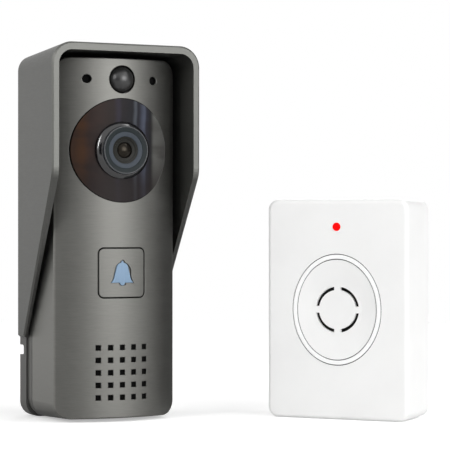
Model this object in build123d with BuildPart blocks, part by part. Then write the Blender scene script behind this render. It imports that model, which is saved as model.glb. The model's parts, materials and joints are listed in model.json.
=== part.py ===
from build123d import *
from math import cos, radians, sin, sqrt, tan
import os

# A video intercom of two units: a door station under a rain hood, on its wall bracket, and the
# wireless chime that goes with it, standing beside it.
# X runs across the front of the door station, +Y into the wall behind it and +Z up.
# The origin is the middle of the wall bracket's foot, on the surface that both units stand on.
# All sizes are millimetres.

# Door station body
face_width = 50.0
face_height = 138.0
face_corner = 5.9
face_bulge = 8.36
draft_angle = 2.0
edge_round = 0.5
opening_round = 0.2
front_wall = 2.0
side_wall = 1.8
housing_depth = 20.6
seal_thickness = 0.4
seal_inset = 0.5
cover_rim_depth = 1.8
cover_step_depth = 1.5
cover_step_inset = 0.8
cover_back_wall = 2.0
cover_back_round = 0.6
shadow_gap = 1.5

# Wall bracket
bracket_depth = 6.6
bracket_half_width = 26.3
bracket_plate = 2.2
bracket_wall = 1.8
foot_drop = 1.1
top_clearance = 0.2
wall_screw_spacing = 84.0
wall_screw_radius = 2.2
wall_screw_boss_radius = 5.0
wall_screw_head_radius = 3.8
wall_screw_head_depth = 1.4
notch_height = 3.8
notch_depth = 4.0
notch_middle = 25.0
notch_round = 0.9

# Rain hood
hood_rim_reach = 13.1
hood_rim_half_width = 30.55
hood_rim_wall = 2.7
hood_rim_rise = 4.9
hood_rim_roof = 3.0
hood_rim_corner = 8.2
hood_back_half_width = 28.0
hood_back_wall = 1.4
hood_back_rise = 2.6
hood_back_roof = 1.2
hood_back_corner = 6.2
hood_back_short = 2.2
hood_bend_height = 93.3
hood_bend_round = 9.0
hood_end_height = 30.2
hood_end_depth = 7.1
hood_end_round = 0.8
hood_edge_break = 0.7
hood_screw_radius = 1.25
hood_screw_head_radius = 2.3
hood_screw_head_depth = 1.0
hood_screw_length = 6.0
hood_screw_x = 15.0
hood_screw_boss = 6.0

# Camera window, lens unit and what is behind them
window_diameter = 39.4
window_height = 102.5
window_flatter = 1.0
window_thickness = 1.6
window_gap = 0.1
window_seal_thickness = 0.2
window_ledge = 1.6
seat_wall = 1.3
seat_depth = 3.2
bezel_base_diameter = 22.0
bezel_front_diameter = 19.6
bezel_height = 3.6
bezel_flank = 0.75
bezel_face_diameter = 13.9
bezel_dish = 0.2
neck_diameter = 19.6
neck_gap = 0.1
neck_depth = 4.0
lens_ring_thickness = 0.9
lens_ring_step = 0.3
aperture_diameter = 10.4
barrel_diameter = 15.6
barrel_gap = 0.1
barrel_length = 10.9
glass_bulge = 1.0
glass_thickness = 1.4
glass_recess = 1.0
camera_board_side = 22.0
camera_board_thickness = 1.2
sensor_side = 7.0
sensor_thickness = 0.9
sensor_gap = 0.9
infrared_board_diameter = 35.0
infrared_board_thickness = 0.8
infrared_led_circle_diameter = 26.4
infrared_led_diameter = 3.0
infrared_led_height = 2.2
infrared_led_round = 1.0
infrared_led_count = 6

# Movement sensor, microphone and light sensor
sensors_height = 129.6
dome_diameter = 10.36
dome_gap = 0.1
dome_proud = 2.6
dome_wall = 0.9
dome_flange_diameter = 11.8
dome_flange = 0.8
pir_can_diameter = 8.2
pir_base_diameter = 9.2
pir_base = 0.8
pin_hole_offset = 13.74
pin_hole_diameter = 3.3
sleeve_diameter = 8.0
capsule_diameter = 6.0
capsule_depth = 2.5
pipe_diameter = 3.0
pipe_flange_diameter = 4.8
pipe_flange = 0.8
pipe_recess = 1.6
light_chip_side = 3.0
light_chip_height = 1.1

# Call button
button_side = 18.6
button_corner = 1.95
button_round = 0.25
button_gap = 0.4
button_height = 55.7
button_thickness = 3.0
button_flange = 1.4
button_flange_gap = 0.15
button_travel = 0.8
bell_width = 9.3
bell_height = 9.7
bell_depth = 0.8
bell_rim_low = 3.8
bell_flare = 3.75
bell_flare_low = 2.1
bell_waist = 3.4
bell_waist_low = 0.4
bell_shoulder = 2.75
bell_shoulder_high = 2.55
bell_crown = 4.05
bell_clapper = 1.2
bell_clapper_high = 4.5
bell_clapper_round = 0.6
bell_gap = 0.2
stem_diameter = 3.2
stem_gap = 0.05
switch_side = 6.0
switch_corner = 0.5
switch_height = 3.5
switch_clear = 0.1

# Speaker
speaker_height = 17.7
grille_hole = 2.0
grille_pitch = 4.76
grille_wall = 0.9
grille_count = 5
mesh_side = 22.6
mesh_corner = 1.5
mesh_thickness = 0.3
mesh_gap = 0.05
speaker_side = 26.0
speaker_corner = 3.0
speaker_seat_wall = 1.5
speaker_flange = 1.0
speaker_cup_diameter = 23.0
speaker_cup_depth = 3.0
magnet_diameter = 18.0
magnet_depth = 3.5
cone_thickness = 0.5
speaker_roll = 1.2

# Boards, cells and fixings of the door station
board_setback = 1.4
board_thickness = 1.6
board_width = 35.2
board_bottom = 32.0
board_top = 134.5
board_screw_x = 14.5
board_screw_low = 34.5
board_screw_high = 121.5
board_boss_radius = 2.2
shield_width = 12.0
shield_height = 15.0
shield_thickness = 1.8
shield_middle_x = -9.5
shield_middle_z = 71.5
antenna_width = 26.0
antenna_depth = 6.0
antenna_thickness = 0.3
antenna_clear = 0.1
cell_diameter = 18.2
cell_length = 65.0
cell_bottom = 36.5
cell_gap = 0.15
cell_spacing = 19.6
tray_wall = 1.4
tray_floor = 0.5
contact_thickness = 0.4
contact_side = 9.0
cover_screw_x = 20.2
cover_screw_low = 5.6
cover_screw_high = 132.4
cover_boss_radius = 2.4
screw_radius = 1.15
screw_hole_gap = 0.05
screw_head_radius = 2.0
screw_head_depth = 1.0
cover_screw_length = 9.0
board_screw_length = 3.5
usb_height = 26.0
usb_width = 8.9
usb_thickness = 3.2
usb_length = 8.0
usb_wall = 0.4
usb_corner = 1.1
usb_flange = 1.2
usb_flange_thickness = 0.8
usb_gap = 0.2
flap_width = 13.0
flap_height = 7.4
flap_thickness = 0.9
flap_corner = 1.6
tongue_width = 10.0
tongue_thickness = 1.6
tongue_reach = 4.6
tongue_gap = 0.3
tongue_from_middle = 58.0

# Chime
chime_width = 58.0
chime_height = 85.0
chime_depth = 26.0
chime_corner = 4.0
chime_front_round = 1.6
chime_back_round = 1.0
chime_turn = -51.2
chime_x = 87.1
chime_y = -59.0
chime_wall = 2.0
chime_back_depth = 9.0
chime_seam = 0.35
ring_width = 36.8
ring_height = 43.2
ring_band = 2.3
ring_middle = 42.4
ring_proud = 0.5
ring_seat = 0.8
ring_round = 0.4
dish_depth = 0.9
dish_wall = 1.4
slot_diameter = 17.8
slot_width = 1.3
slot_bridge = 2.6
chime_led_diameter = 3.2
chime_led_rise = 9.9
chime_led_proud = 0.25
chime_led_round = 0.2
chime_led_gap = 0.05
chime_board_width = 46.0
chime_board_height = 26.0
chime_board_middle = 64.5
chime_board_gap = 0.8
chime_board_thickness = 1.6
chime_board_setback = 7.5
chime_board_boss = 2.4
chime_board_screw_x = 18.5
chime_speaker_diameter = 30.0
chime_speaker_flange = 1.0
chime_speaker_setback = 4.6
chime_magnet_diameter = 16.0
chime_magnet_depth = 3.4
chime_cup_depth = 2.6
chime_cell_diameter = 10.5
chime_cell_length = 44.5
chime_cell_middle = 27.0
chime_cell_spacing = 11.5
chime_cell_count = 3
bay_wall = 1.2
bay_gap = 0.25
door_width = 50.0
door_height = 37.0
door_thickness = 1.4
door_gap = 0.25
door_back_gap = 0.15
door_grip_width = 12.0
door_grip_depth = 0.6
key_width = 8.0
key_height = 5.0
key_thickness = 2.4
key_proud = 0.6
key_gap = 0.2
key_flange = 1.0
key_flange_rim = 0.9
key_travel = 0.5
key_middle = 66.0
key_spacing = 11.0
key_switch_side = 4.5
chime_screw_x = 24.2
chime_screw_low = 4.8
chime_screw_high = 80.2
chime_boss_radius = 2.4
chime_screw_length = 10.0

# Depths that follow from the sizes, from the wall forwards
bracket_back = bracket_depth / 2
bracket_front = -bracket_depth / 2
cover_back = bracket_front - shadow_gap
cover_inside = cover_back - cover_back_wall
cover_step = cover_back - cover_step_depth
cover_front = cover_step - cover_rim_depth
housing_back = cover_front - seal_thickness
edge_y = housing_back - housing_depth
crown_y = edge_y - face_bulge
board_front = edge_y + board_setback
board_back = board_front + board_thickness
rim_y = edge_y - hood_rim_reach
hood_back = bracket_back - hood_back_short

# Heights that follow from the sizes
edge_z = foot_drop
middle_z = edge_z + face_height / 2
window_z = edge_z + window_height
sensors_z = edge_z + sensors_height
button_z = edge_z + button_height
speaker_z = edge_z + speaker_height
hood_rim_top = face_height + hood_rim_rise
hood_back_top = face_height + hood_back_rise
bracket_top = edge_z + hood_back_top - hood_back_roof - top_clearance
hood_screw_y = (hood_back + bracket_front) / 2
hood_screw_seat = edge_z + hood_back_top

# The front is part of an upright cylinder, and the camera window is part of a slightly flatter one.
face_radius = (face_width**2 / 4 + face_bulge**2) / (2 * face_bulge)
window_half = window_diameter / 2
face_fall = face_radius - sqrt(face_radius**2 - window_half**2)
window_fall = face_fall - window_flatter
window_radius = (window_half**2 + window_fall**2) / (2 * window_fall)
reach = face_width
over = 1.0


def face_at(y):
    """The upright plane at a depth, looking out of the front, with X across and Z up."""
    return Plane.XZ.offset(-y)


def grow(y):
    """How much further out each side of the body is at a depth than at its front edge."""
    return (y - edge_y) * tan(radians(draft_angle))


def drafted_block(front_y, back_y, inset=0.0):
    """The body's tapered block between two depths, drawn in from its sides by an inset."""
    out = grow(back_y) - inset
    with BuildPart() as block:
        with BuildSketch(face_at(back_y)):
            with Locations((0, middle_z)):
                RectangleRounded(face_width + 2 * out, face_height + 2 * out, face_corner + out)
        extrude(amount=back_y - front_y, taper=draft_angle)
    return block.part


def bowed_slab(front_y, front_radius, back_y, back_radius, half_span=reach / 2 + over):
    """A slab between two upright cylinders, whose middles are at the two depths."""
    front_end = front_y + front_radius - sqrt(front_radius**2 - half_span**2)
    back_end = back_y + back_radius - sqrt(back_radius**2 - half_span**2)
    with BuildPart() as slab:
        with BuildSketch(Plane.XY.offset(-reach)):
            with BuildLine():
                ThreePointArc((-half_span, front_end), (0, front_y), (half_span, front_end))
                ThreePointArc((-half_span, back_end), (0, back_y), (half_span, back_end))
                Line((-half_span, front_end), (-half_span, back_end))
                Line((half_span, front_end), (half_span, back_end))
            make_face()
        extrude(amount=face_height + 2 * reach)
    return slab.part


def bowed_block(front_y, radius, back_y):
    """Everything behind an upright cylinder, as far as a flat back."""
    half_span = reach / 2 + 2 * over
    end_y = front_y + radius - sqrt(radius**2 - half_span**2)
    with BuildPart() as block:
        with BuildSketch(Plane.XY.offset(-reach)):
            with BuildLine():
                ThreePointArc((-half_span, end_y), (0, front_y), (half_span, end_y))
                Polyline((-half_span, end_y), (-half_span, back_y), (half_span, back_y), (half_span, end_y))
            make_face()
        extrude(amount=face_height + 2 * reach)
    return block.part


def post(x, z, radius, front_y, back_y):
    """A round post that runs from one depth to another."""
    with BuildPart() as rod:
        with BuildSketch(face_at(back_y)):
            with Locations((x, z)):
                Circle(radius)
        extrude(amount=back_y - front_y)
    return rod.part


def square_post(side, corner, z, front_y, back_y):
    """A post with a rounded square section that runs from one depth to another."""
    with BuildPart() as block:
        with BuildSketch(face_at(back_y)):
            with Locations((0, z)):
                RectangleRounded(side, side, corner)
        extrude(amount=back_y - front_y)
    return block.part


def screw(x, z, seat_y, towards, head_radius, head_depth, radius, length):
    """A pan-head screw along Y, whose shaft leaves its seat towards -Y or +Y."""
    with BuildPart() as fixing:
        with BuildSketch(face_at(seat_y)):
            with Locations((x, z)):
                Circle(head_radius)
        extrude(amount=head_depth * towards)
        with BuildSketch(face_at(seat_y)):
            with Locations((x, z)):
                Circle(radius)
        extrude(amount=-length * towards)
    return fixing.part


def outermost(block, direction):
    """The face of a piece that lies furthest along a direction."""
    return block.faces().sort_by(lambda face: face.center().dot(Vector(*direction)))[-1]


def save(part, name):
    """Label a finished piece and write it to its own file."""
    part.label = name
    export_step(part, "parts/" + name + ".step")


os.makedirs("parts", exist_ok=True)
cover_screw_places = [(x, edge_z + z) for x in (-cover_screw_x, cover_screw_x)
                      for z in (cover_screw_low, cover_screw_high)]
board_screw_places = [(x, edge_z + z) for x in (-board_screw_x, board_screw_x)
                      for z in (board_screw_low, board_screw_high)]
tongue_places = [(0, middle_z + z) for z in (-tongue_from_middle, tongue_from_middle)]

# Front housing: a drafted shell with a bowed front, open at the back
window_seat = (
    post(0, window_z, window_half + seat_wall, crown_y, crown_y + 2 * face_bulge)
    & bowed_slab(crown_y + front_wall / 2, face_radius - front_wall / 2,
                 crown_y + seat_depth, window_radius - seat_depth)
)
window_pocket = (
    post(0, window_z, window_half + window_gap, crown_y - over, crown_y + 2 * face_bulge)
    & bowed_slab(crown_y - over, face_radius, crown_y + window_thickness + window_seal_thickness,
                 window_radius - window_thickness - window_seal_thickness)
)
speaker_face = crown_y + face_bulge - speaker_flange / 2
housing_hollow = drafted_block(crown_y - over, housing_back + over, side_wall) & bowed_block(
    crown_y + front_wall, face_radius - front_wall, housing_back + 2 * over)
housing_posts = [post(x, z, cover_boss_radius, crown_y + front_wall, housing_back)
                 for x, z in cover_screw_places]
housing_posts += [post(x, z, board_boss_radius, crown_y + front_wall, board_front)
                  for x, z in board_screw_places]
speaker_tube = square_post(speaker_side, speaker_corner, speaker_z, crown_y + front_wall, speaker_face)
speaker_hole = square_post(speaker_side - 2 * speaker_seat_wall, speaker_corner - speaker_seat_wall,
                           speaker_z, crown_y + front_wall, speaker_face + over)
grille_pocket = square_post(
    mesh_side + 2 * mesh_gap, mesh_corner + mesh_gap, speaker_z, crown_y, crown_y + 2 * face_bulge
) & bowed_slab(crown_y + grille_wall, face_radius - grille_wall, crown_y + front_wall + over,
               face_radius - front_wall - over)
posts_limit = drafted_block(crown_y - over, housing_back, side_wall / 2) & bowed_block(
    crown_y + front_wall / 2, face_radius - front_wall / 2, housing_back)

with BuildPart() as front_housing:
    add(drafted_block(crown_y - over, housing_back))
    add(bowed_block(crown_y, face_radius, housing_back + over), mode=Mode.INTERSECT)
    fillet(front_housing.faces().filter_by(GeomType.CYLINDER).sort_by(Axis.Y)[0].edges(), edge_round)
    add(housing_hollow, mode=Mode.SUBTRACT)
    add(window_seat)
    for piece in housing_posts:
        add(piece & posts_limit)
    add(speaker_tube & posts_limit)
    add(speaker_hole & housing_hollow, mode=Mode.SUBTRACT)
    add(grille_pocket, mode=Mode.SUBTRACT)
    add(window_pocket, mode=Mode.SUBTRACT)
    for x, z in cover_screw_places:
        add(post(x, z, screw_radius + screw_hole_gap, housing_back - cover_screw_length,
                 housing_back + over), mode=Mode.SUBTRACT)
    for x, z in board_screw_places:
        add(post(x, z, screw_radius + screw_hole_gap, board_front - board_screw_length,
                 board_front + over), mode=Mode.SUBTRACT)
    with BuildSketch(face_at(edge_y + over)):
        with Locations((0, window_z)):
            Circle(window_half - window_ledge)
        with Locations((0, sensors_z)):
            Circle(dome_diameter / 2 + dome_gap)
        with Locations((-pin_hole_offset, sensors_z), (pin_hole_offset, sensors_z)):
            Circle(pin_hole_diameter / 2)
        with Locations((0, button_z)):
            RectangleRounded(button_side + 2 * button_gap, button_side + 2 * button_gap,
                             button_corner + button_gap)
        with Locations((0, speaker_z)):
            with GridLocations(grille_pitch, grille_pitch, grille_count, grille_count):
                Rectangle(grille_hole, grille_hole)
    extrude(amount=face_bulge + 2 * over, mode=Mode.SUBTRACT)
    front = front_housing.faces().filter_by(GeomType.CYLINDER).sort_by(lambda face: face.area)[-1]
    fillet([edge for wire in front.inner_wires() for edge in wire.edges()], opening_round)
save(front_housing.part, "front_housing")

# Rear cover: a shallow tray with a set-back step, two tongues and the charging opening
with BuildPart() as rear_cover:
    add(drafted_block(cover_front, cover_step))
    add(drafted_block(cover_step, cover_back, cover_step_inset))
    fillet(outermost(rear_cover, (0, 1, 0)).edges(), cover_back_round)
    add(drafted_block(cover_front - over, cover_inside, side_wall + cover_step_inset), mode=Mode.SUBTRACT)
    for x, z in cover_screw_places:
        add(post(x, z, cover_boss_radius, cover_front, cover_inside))
    with BuildSketch(face_at(cover_back)):
        with Locations(*tongue_places):
            Rectangle(tongue_width, tongue_thickness)
    extrude(amount=-tongue_reach)
    with BuildSketch(face_at(cover_back)):
        with Locations((0, edge_z + usb_height)):
            RectangleRounded(flap_width + 2 * usb_gap, flap_height + 2 * usb_gap, flap_corner + usb_gap)
    extrude(amount=flap_thickness, mode=Mode.SUBTRACT)
    with BuildSketch(face_at(cover_back)):
        with Locations((0, edge_z + usb_height)):
            Rectangle(usb_width + 2 * usb_gap, usb_thickness + 2 * usb_gap)
    extrude(amount=cover_back_wall + over, mode=Mode.SUBTRACT)
    for x, z in cover_screw_places:
        add(post(x, z, screw_head_radius + screw_hole_gap, cover_back - screw_head_depth,
                 cover_back + over), mode=Mode.SUBTRACT)
        add(post(x, z, screw_radius + screw_hole_gap, cover_front - over, cover_back), mode=Mode.SUBTRACT)
save(rear_cover.part, "rear_cover")

# The seal in the seam between the housing and the rear cover
with BuildPart() as housing_seal:
    add(drafted_block(housing_back, cover_front, seal_inset))
    add(drafted_block(housing_back - over, cover_front + over, side_wall), mode=Mode.SUBTRACT)
save(housing_seal.part, "housing_seal")

with BuildPart() as cover_screws:
    for x, z in cover_screw_places:
        add(screw(x, z, cover_back - screw_head_depth, -1, screw_head_radius, screw_head_depth,
                  screw_radius, cover_screw_length - over))
save(cover_screws.part, "cover_screws")

# Wall bracket: a tray that is open towards the wall, with bosses for the wall screws
with BuildPart() as wall_bracket:
    with BuildSketch(face_at(bracket_back)):
        with Locations((0, bracket_top / 2)):
            RectangleRounded(2 * bracket_half_width, bracket_top, face_corner)
    extrude(amount=bracket_depth)
    with BuildSketch(face_at(bracket_back)):
        with Locations((0, bracket_top / 2)):
            RectangleRounded(2 * (bracket_half_width - bracket_wall), bracket_top - 2 * bracket_wall,
                             face_corner - bracket_wall)
    extrude(amount=bracket_depth - bracket_plate, mode=Mode.SUBTRACT)
    with BuildSketch(face_at(bracket_back)):
        with Locations((0, middle_z)):
            with GridLocations(0, wall_screw_spacing, 1, 2):
                Circle(wall_screw_boss_radius)
        with Locations((-hood_screw_x, bracket_top - hood_screw_boss / 2 - bracket_wall / 2),
                       (hood_screw_x, bracket_top - hood_screw_boss / 2 - bracket_wall / 2)):
            Rectangle(hood_screw_boss, hood_screw_boss)
    extrude(amount=bracket_depth - bracket_plate / 2)
    with BuildSketch(face_at(bracket_back)):
        with Locations((0, middle_z)):
            with GridLocations(0, wall_screw_spacing, 1, 2):
                Circle(wall_screw_radius)
    extrude(amount=bracket_depth + over, mode=Mode.SUBTRACT)
    with BuildSketch(face_at(bracket_front + wall_screw_head_depth)):
        with Locations((0, middle_z)):
            with GridLocations(0, wall_screw_spacing, 1, 2):
                Circle(wall_screw_head_radius)
    extrude(amount=wall_screw_head_depth, mode=Mode.SUBTRACT)
    with BuildSketch(face_at(bracket_back)):
        with Locations(*tongue_places):
            Rectangle(tongue_width + 2 * tongue_gap, tongue_thickness + 2 * tongue_gap)
    extrude(amount=bracket_depth + over, mode=Mode.SUBTRACT)
    with BuildSketch(Plane.YZ.offset(-bracket_half_width - over)) as notch:
        with Locations((bracket_back - notch_depth / 2 + over, edge_z + notch_middle)):
            Rectangle(notch_depth + 2 * over, notch_height)
        fillet(notch.vertices().group_by(Axis.X)[0], notch_round)
    extrude(amount=bracket_wall + 2 * over, mode=Mode.SUBTRACT)
    with BuildSketch(Plane.XY.offset(bracket_top)):
        with Locations((-hood_screw_x, hood_screw_y), (hood_screw_x, hood_screw_y)):
            Circle(hood_screw_radius + screw_hole_gap)
    extrude(amount=-hood_screw_length, mode=Mode.SUBTRACT)
save(wall_bracket.part, "wall_bracket")

# Rain hood: a roof and two side walls that flare forwards, cut to a side profile
hood_floor = -reach
hood_sections = []
for half_width, top, corner, y in (
        (hood_back_half_width, hood_back_top, hood_back_corner, hood_back),
        (hood_rim_half_width, hood_rim_top, hood_rim_corner, rim_y)):
    hood_sections.append((half_width, edge_z + top, corner, y))


def hood_block(wall_back, roof_back, wall_rim, roof_rim, floor):
    """The hood's flared block, drawn in by the wall and roof thicknesses at its two ends."""
    with BuildPart() as block:
        for (half_width, top, corner, y), wall, roof in zip(
                hood_sections, (wall_back, wall_rim), (roof_back, roof_rim)):
            with BuildSketch(face_at(y)):
                with Locations((0, (top - roof + floor) / 2)):
                    RectangleRounded(2 * (half_width - wall), top - roof - floor, corner - wall)
        loft(ruled=True)
    return block.part


with BuildPart() as rain_hood:
    add(hood_block(0, 0, 0, 0, hood_floor))
    with BuildSketch(Plane.YZ.offset(-reach)) as hood_side:
        with BuildLine():
            Polyline((hood_back, edge_z + hood_rim_top + over),
                     (hood_back, edge_z + hood_end_height),
                     (hood_back - hood_end_depth, edge_z + hood_end_height),
                     (rim_y, edge_z + hood_bend_height),
                     (rim_y, edge_z + hood_rim_top + over), close=True)
        make_face()
        fillet(hood_side.vertices().group_by(Axis.X)[0].sort_by(Axis.Y)[0], hood_bend_round)
        fillet(hood_side.vertices().group_by(Axis.Y)[0].sort_by(Axis.X)[0], hood_end_round)
    extrude(amount=2 * reach, mode=Mode.INTERSECT)
    front_edges = [edge for edge in rain_hood.faces().filter_by(
        lambda face: face.normal_at(face.center()).Y < -sin(radians(draft_angle))).edges()
        if edge.center().Z > edge_z + hood_end_height + over]
    outer_edges = [edge for edge in front_edges
                   if abs(edge.center().X) > hood_back_half_width / 2
                   or edge.center().Z > edge_z + hood_back_top]
    chamfer(outer_edges, hood_edge_break)
    add(hood_block(hood_back_wall, hood_back_roof, hood_rim_wall, hood_rim_roof, 2 * hood_floor),
        mode=Mode.SUBTRACT)
    with BuildSketch(Plane.XY.offset(edge_z + hood_rim_top)):
        with Locations((-hood_screw_x, hood_screw_y), (hood_screw_x, hood_screw_y)):
            Circle(hood_screw_radius + screw_hole_gap)
    extrude(amount=-hood_rim_top / 2, mode=Mode.SUBTRACT)
    with BuildSketch(Plane.XY.offset(hood_screw_seat)):
        with Locations((-hood_screw_x, hood_screw_y), (hood_screw_x, hood_screw_y)):
            Circle(hood_screw_head_radius + screw_hole_gap)
    extrude(amount=hood_rim_top, mode=Mode.SUBTRACT)
save(rain_hood.part, "rain_hood")

with BuildPart() as hood_screws:
    for x in (-hood_screw_x, hood_screw_x):
        with BuildSketch(Plane.XY.offset(hood_screw_seat)):
            with Locations((x, hood_screw_y)):
                Circle(hood_screw_head_radius)
        extrude(amount=hood_screw_head_depth)
        with BuildSketch(Plane.XY.offset(hood_screw_seat)):
            with Locations((x, hood_screw_y)):
                Circle(hood_screw_radius)
        extrude(amount=-hood_screw_length)
save(hood_screws.part, "hood_screws")

# Camera window: a thin bowed disc with a round hole for the lens unit
with BuildPart() as camera_window:
    with BuildSketch(face_at(edge_y + over)):
        with Locations((0, window_z)):
            Circle(window_half)
            Circle(neck_diameter / 2 + neck_gap, mode=Mode.SUBTRACT)
    extrude(amount=face_bulge + 2 * over)
    add(bowed_slab(crown_y, window_radius, crown_y + window_thickness, window_radius - window_thickness),
        mode=Mode.INTERSECT)
save(camera_window.part, "camera_window")

window_back = crown_y + window_thickness
with BuildPart() as window_seal:
    with BuildSketch(face_at(edge_y + over)):
        with Locations((0, window_z)):
            Circle(window_half)
            Circle(window_half - window_ledge, mode=Mode.SUBTRACT)
    extrude(amount=face_bulge + 2 * over)
    add(bowed_slab(window_back, window_radius - window_thickness, window_back + window_seal_thickness,
                   window_radius - window_thickness - window_seal_thickness), mode=Mode.INTERSECT)
save(window_seal.part, "window_seal")

# Lens unit: a dished conical bezel that sits on the window, a ring, a barrel and the front glass
lens_axis = Axis((0, 0, window_z), (0, 1, 0))
lens_plane = Plane(origin=(0, 0, window_z), x_dir=(1, 0, 0), z_dir=(0, 0, 1))
bezel_front = crown_y - bezel_height
bore_radius = barrel_diameter / 2 + barrel_gap
dish_y = bezel_front + bezel_dish
ring_back = dish_y + lens_ring_thickness
aperture_radius = aperture_diameter / 2
flank_end = bezel_front_diameter / 2 - bezel_flank
flank_middle = (bezel_front_diameter / 2 + bezel_flank / 2, bezel_front + bezel_height / 3)
with BuildPart() as lens_bezel:
    with BuildSketch(lens_plane):
        with BuildLine():
            ThreePointArc((bezel_base_diameter / 2, crown_y), flank_middle, (flank_end, bezel_front))
            Polyline((flank_end, bezel_front), (bezel_face_diameter / 2, dish_y),
                     (bezel_face_diameter / 2, ring_back), (bore_radius, ring_back),
                     (bore_radius, crown_y + neck_depth), (neck_diameter / 2, crown_y + neck_depth),
                     (neck_diameter / 2, crown_y + 2 * window_thickness),
                     (bezel_base_diameter / 2, crown_y + 2 * window_thickness),
                     (bezel_base_diameter / 2, crown_y))
        make_face()
    revolve(axis=lens_axis)
    add(bowed_slab(crown_y, window_radius, edge_y + face_bulge, window_radius - face_bulge)
        - post(0, window_z, neck_diameter / 2, crown_y - over, edge_y + face_bulge + over),
        mode=Mode.SUBTRACT)
save(lens_bezel.part, "lens_bezel")

with BuildPart() as lens_ring:
    with BuildSketch(lens_plane):
        with BuildLine():
            Polyline((aperture_radius, ring_back - lens_ring_step),
                     (bezel_face_diameter / 2, dish_y + lens_ring_step),
                     (bezel_face_diameter / 2, ring_back), (aperture_radius, ring_back), close=True)
        make_face()
    revolve(axis=lens_axis)
save(lens_ring.part, "lens_ring")

glass_front = ring_back + glass_recess - glass_bulge
glass_radius = (aperture_radius**2 + glass_bulge**2) / (2 * glass_bulge)
glass_fall = glass_radius - sqrt(glass_radius**2 - aperture_radius**2 / 2)
barrel_back = ring_back + barrel_length
with BuildPart() as lens_barrel:
    with BuildSketch(face_at(barrel_back)):
        with Locations((0, window_z)):
            Circle(barrel_diameter / 2)
    extrude(amount=barrel_length)
    with BuildSketch(face_at(ring_back + glass_recess + glass_thickness)):
        with Locations((0, window_z)):
            Circle(aperture_radius)
    extrude(amount=glass_recess + glass_thickness, mode=Mode.SUBTRACT)
    with BuildSketch(face_at(barrel_back)):
        with Locations((0, window_z)):
            Rectangle(sensor_side + over, sensor_side + over)
    extrude(amount=sensor_thickness + sensor_gap, mode=Mode.SUBTRACT)
    with BuildSketch(face_at(barrel_back)):
        with Locations((0, window_z)):
            Circle(aperture_radius / 2)
    extrude(amount=barrel_length, mode=Mode.SUBTRACT)
save(lens_barrel.part, "lens_barrel")

with BuildPart() as front_lens:
    with BuildSketch(lens_plane):
        with BuildLine():
            ThreePointArc((0, glass_front), (aperture_radius / sqrt(2), glass_front + glass_fall),
                          (aperture_radius, ring_back + glass_recess))
            Polyline((aperture_radius, ring_back + glass_recess),
                     (aperture_radius, ring_back + glass_recess + glass_thickness),
                     (0, ring_back + glass_recess + glass_thickness), (0, glass_front))
        make_face()
    revolve(axis=lens_axis)
save(front_lens.part, "front_lens")

with BuildPart() as camera_board:
    with BuildSketch(face_at(barrel_back + camera_board_thickness)):
        with Locations((0, window_z)):
            RectangleRounded(camera_board_side, camera_board_side, over)
    extrude(amount=camera_board_thickness)
save(camera_board.part, "camera_board")

with BuildPart() as image_sensor:
    with BuildSketch(face_at(barrel_back)):
        with Locations((0, window_z)):
            Rectangle(sensor_side, sensor_side)
    extrude(amount=sensor_thickness)
save(image_sensor.part, "image_sensor")

# Night lights: a ring board in front of the camera board, with lamps that look through the window
infrared_front = barrel_back - infrared_board_thickness
with BuildPart() as infrared_board:
    with BuildSketch(face_at(barrel_back)):
        with Locations((0, window_z)):
            Circle(infrared_board_diameter / 2)
            Circle(neck_diameter / 2, mode=Mode.SUBTRACT)
    extrude(amount=infrared_board_thickness)
save(infrared_board.part, "infrared_board")

with BuildPart() as infrared_leds:
    with BuildSketch(Plane(origin=(0, infrared_front, window_z), x_dir=(1, 0, 0), z_dir=(0, -1, 0))):
        with PolarLocations(infrared_led_circle_diameter / 2, infrared_led_count):
            Circle(infrared_led_diameter / 2)
    extrude(amount=infrared_led_height)
    fillet(infrared_leds.faces().group_by(Axis.Y)[0].edges(), infrared_led_round)
save(infrared_leds.part, "infrared_leds")

# Movement sensor under its dark dome
sensor_axis = Axis((0, 0, sensors_z), (0, 1, 0))
sensor_plane = Plane(origin=(0, 0, sensors_z), x_dir=(1, 0, 0), z_dir=(0, 0, 1))
dome_half = dome_diameter / 2
inner_radius = face_radius - front_wall
flange_y = crown_y + front_wall + inner_radius - sqrt(inner_radius**2 - (dome_flange_diameter / 2)**2)
flange_y += screw_hole_gap
dome_centre = crown_y - dome_proud + dome_half
dome_inner = dome_half - dome_wall
flange_middle = (dome_inner + dome_flange_diameter / 2) / 2
with BuildPart() as pir_dome:
    with BuildSketch(sensor_plane):
        with Locations((0, dome_centre)):
            Circle(dome_half)
            Circle(dome_inner, mode=Mode.SUBTRACT)
            Rectangle(2 * dome_half, 2 * dome_half, align=(Align.CENTER, Align.MIN), mode=Mode.SUBTRACT)
            Rectangle(2 * dome_half, 4 * dome_half, align=(Align.MAX, Align.CENTER), mode=Mode.SUBTRACT)
        with Locations((flange_middle, flange_y)):
            Rectangle(dome_flange_diameter / 2 - dome_inner, dome_flange, align=(Align.CENTER, Align.MIN))
    revolve(axis=sensor_axis)
save(pir_dome.part, "pir_dome")

with BuildPart() as pir_sensor:
    add(post(0, sensors_z, pir_can_diameter / 2, flange_y, board_front - pir_base))
    add(post(0, sensors_z, pir_base_diameter / 2, board_front - pir_base, board_front))
save(pir_sensor.part, "pir_sensor")

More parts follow.
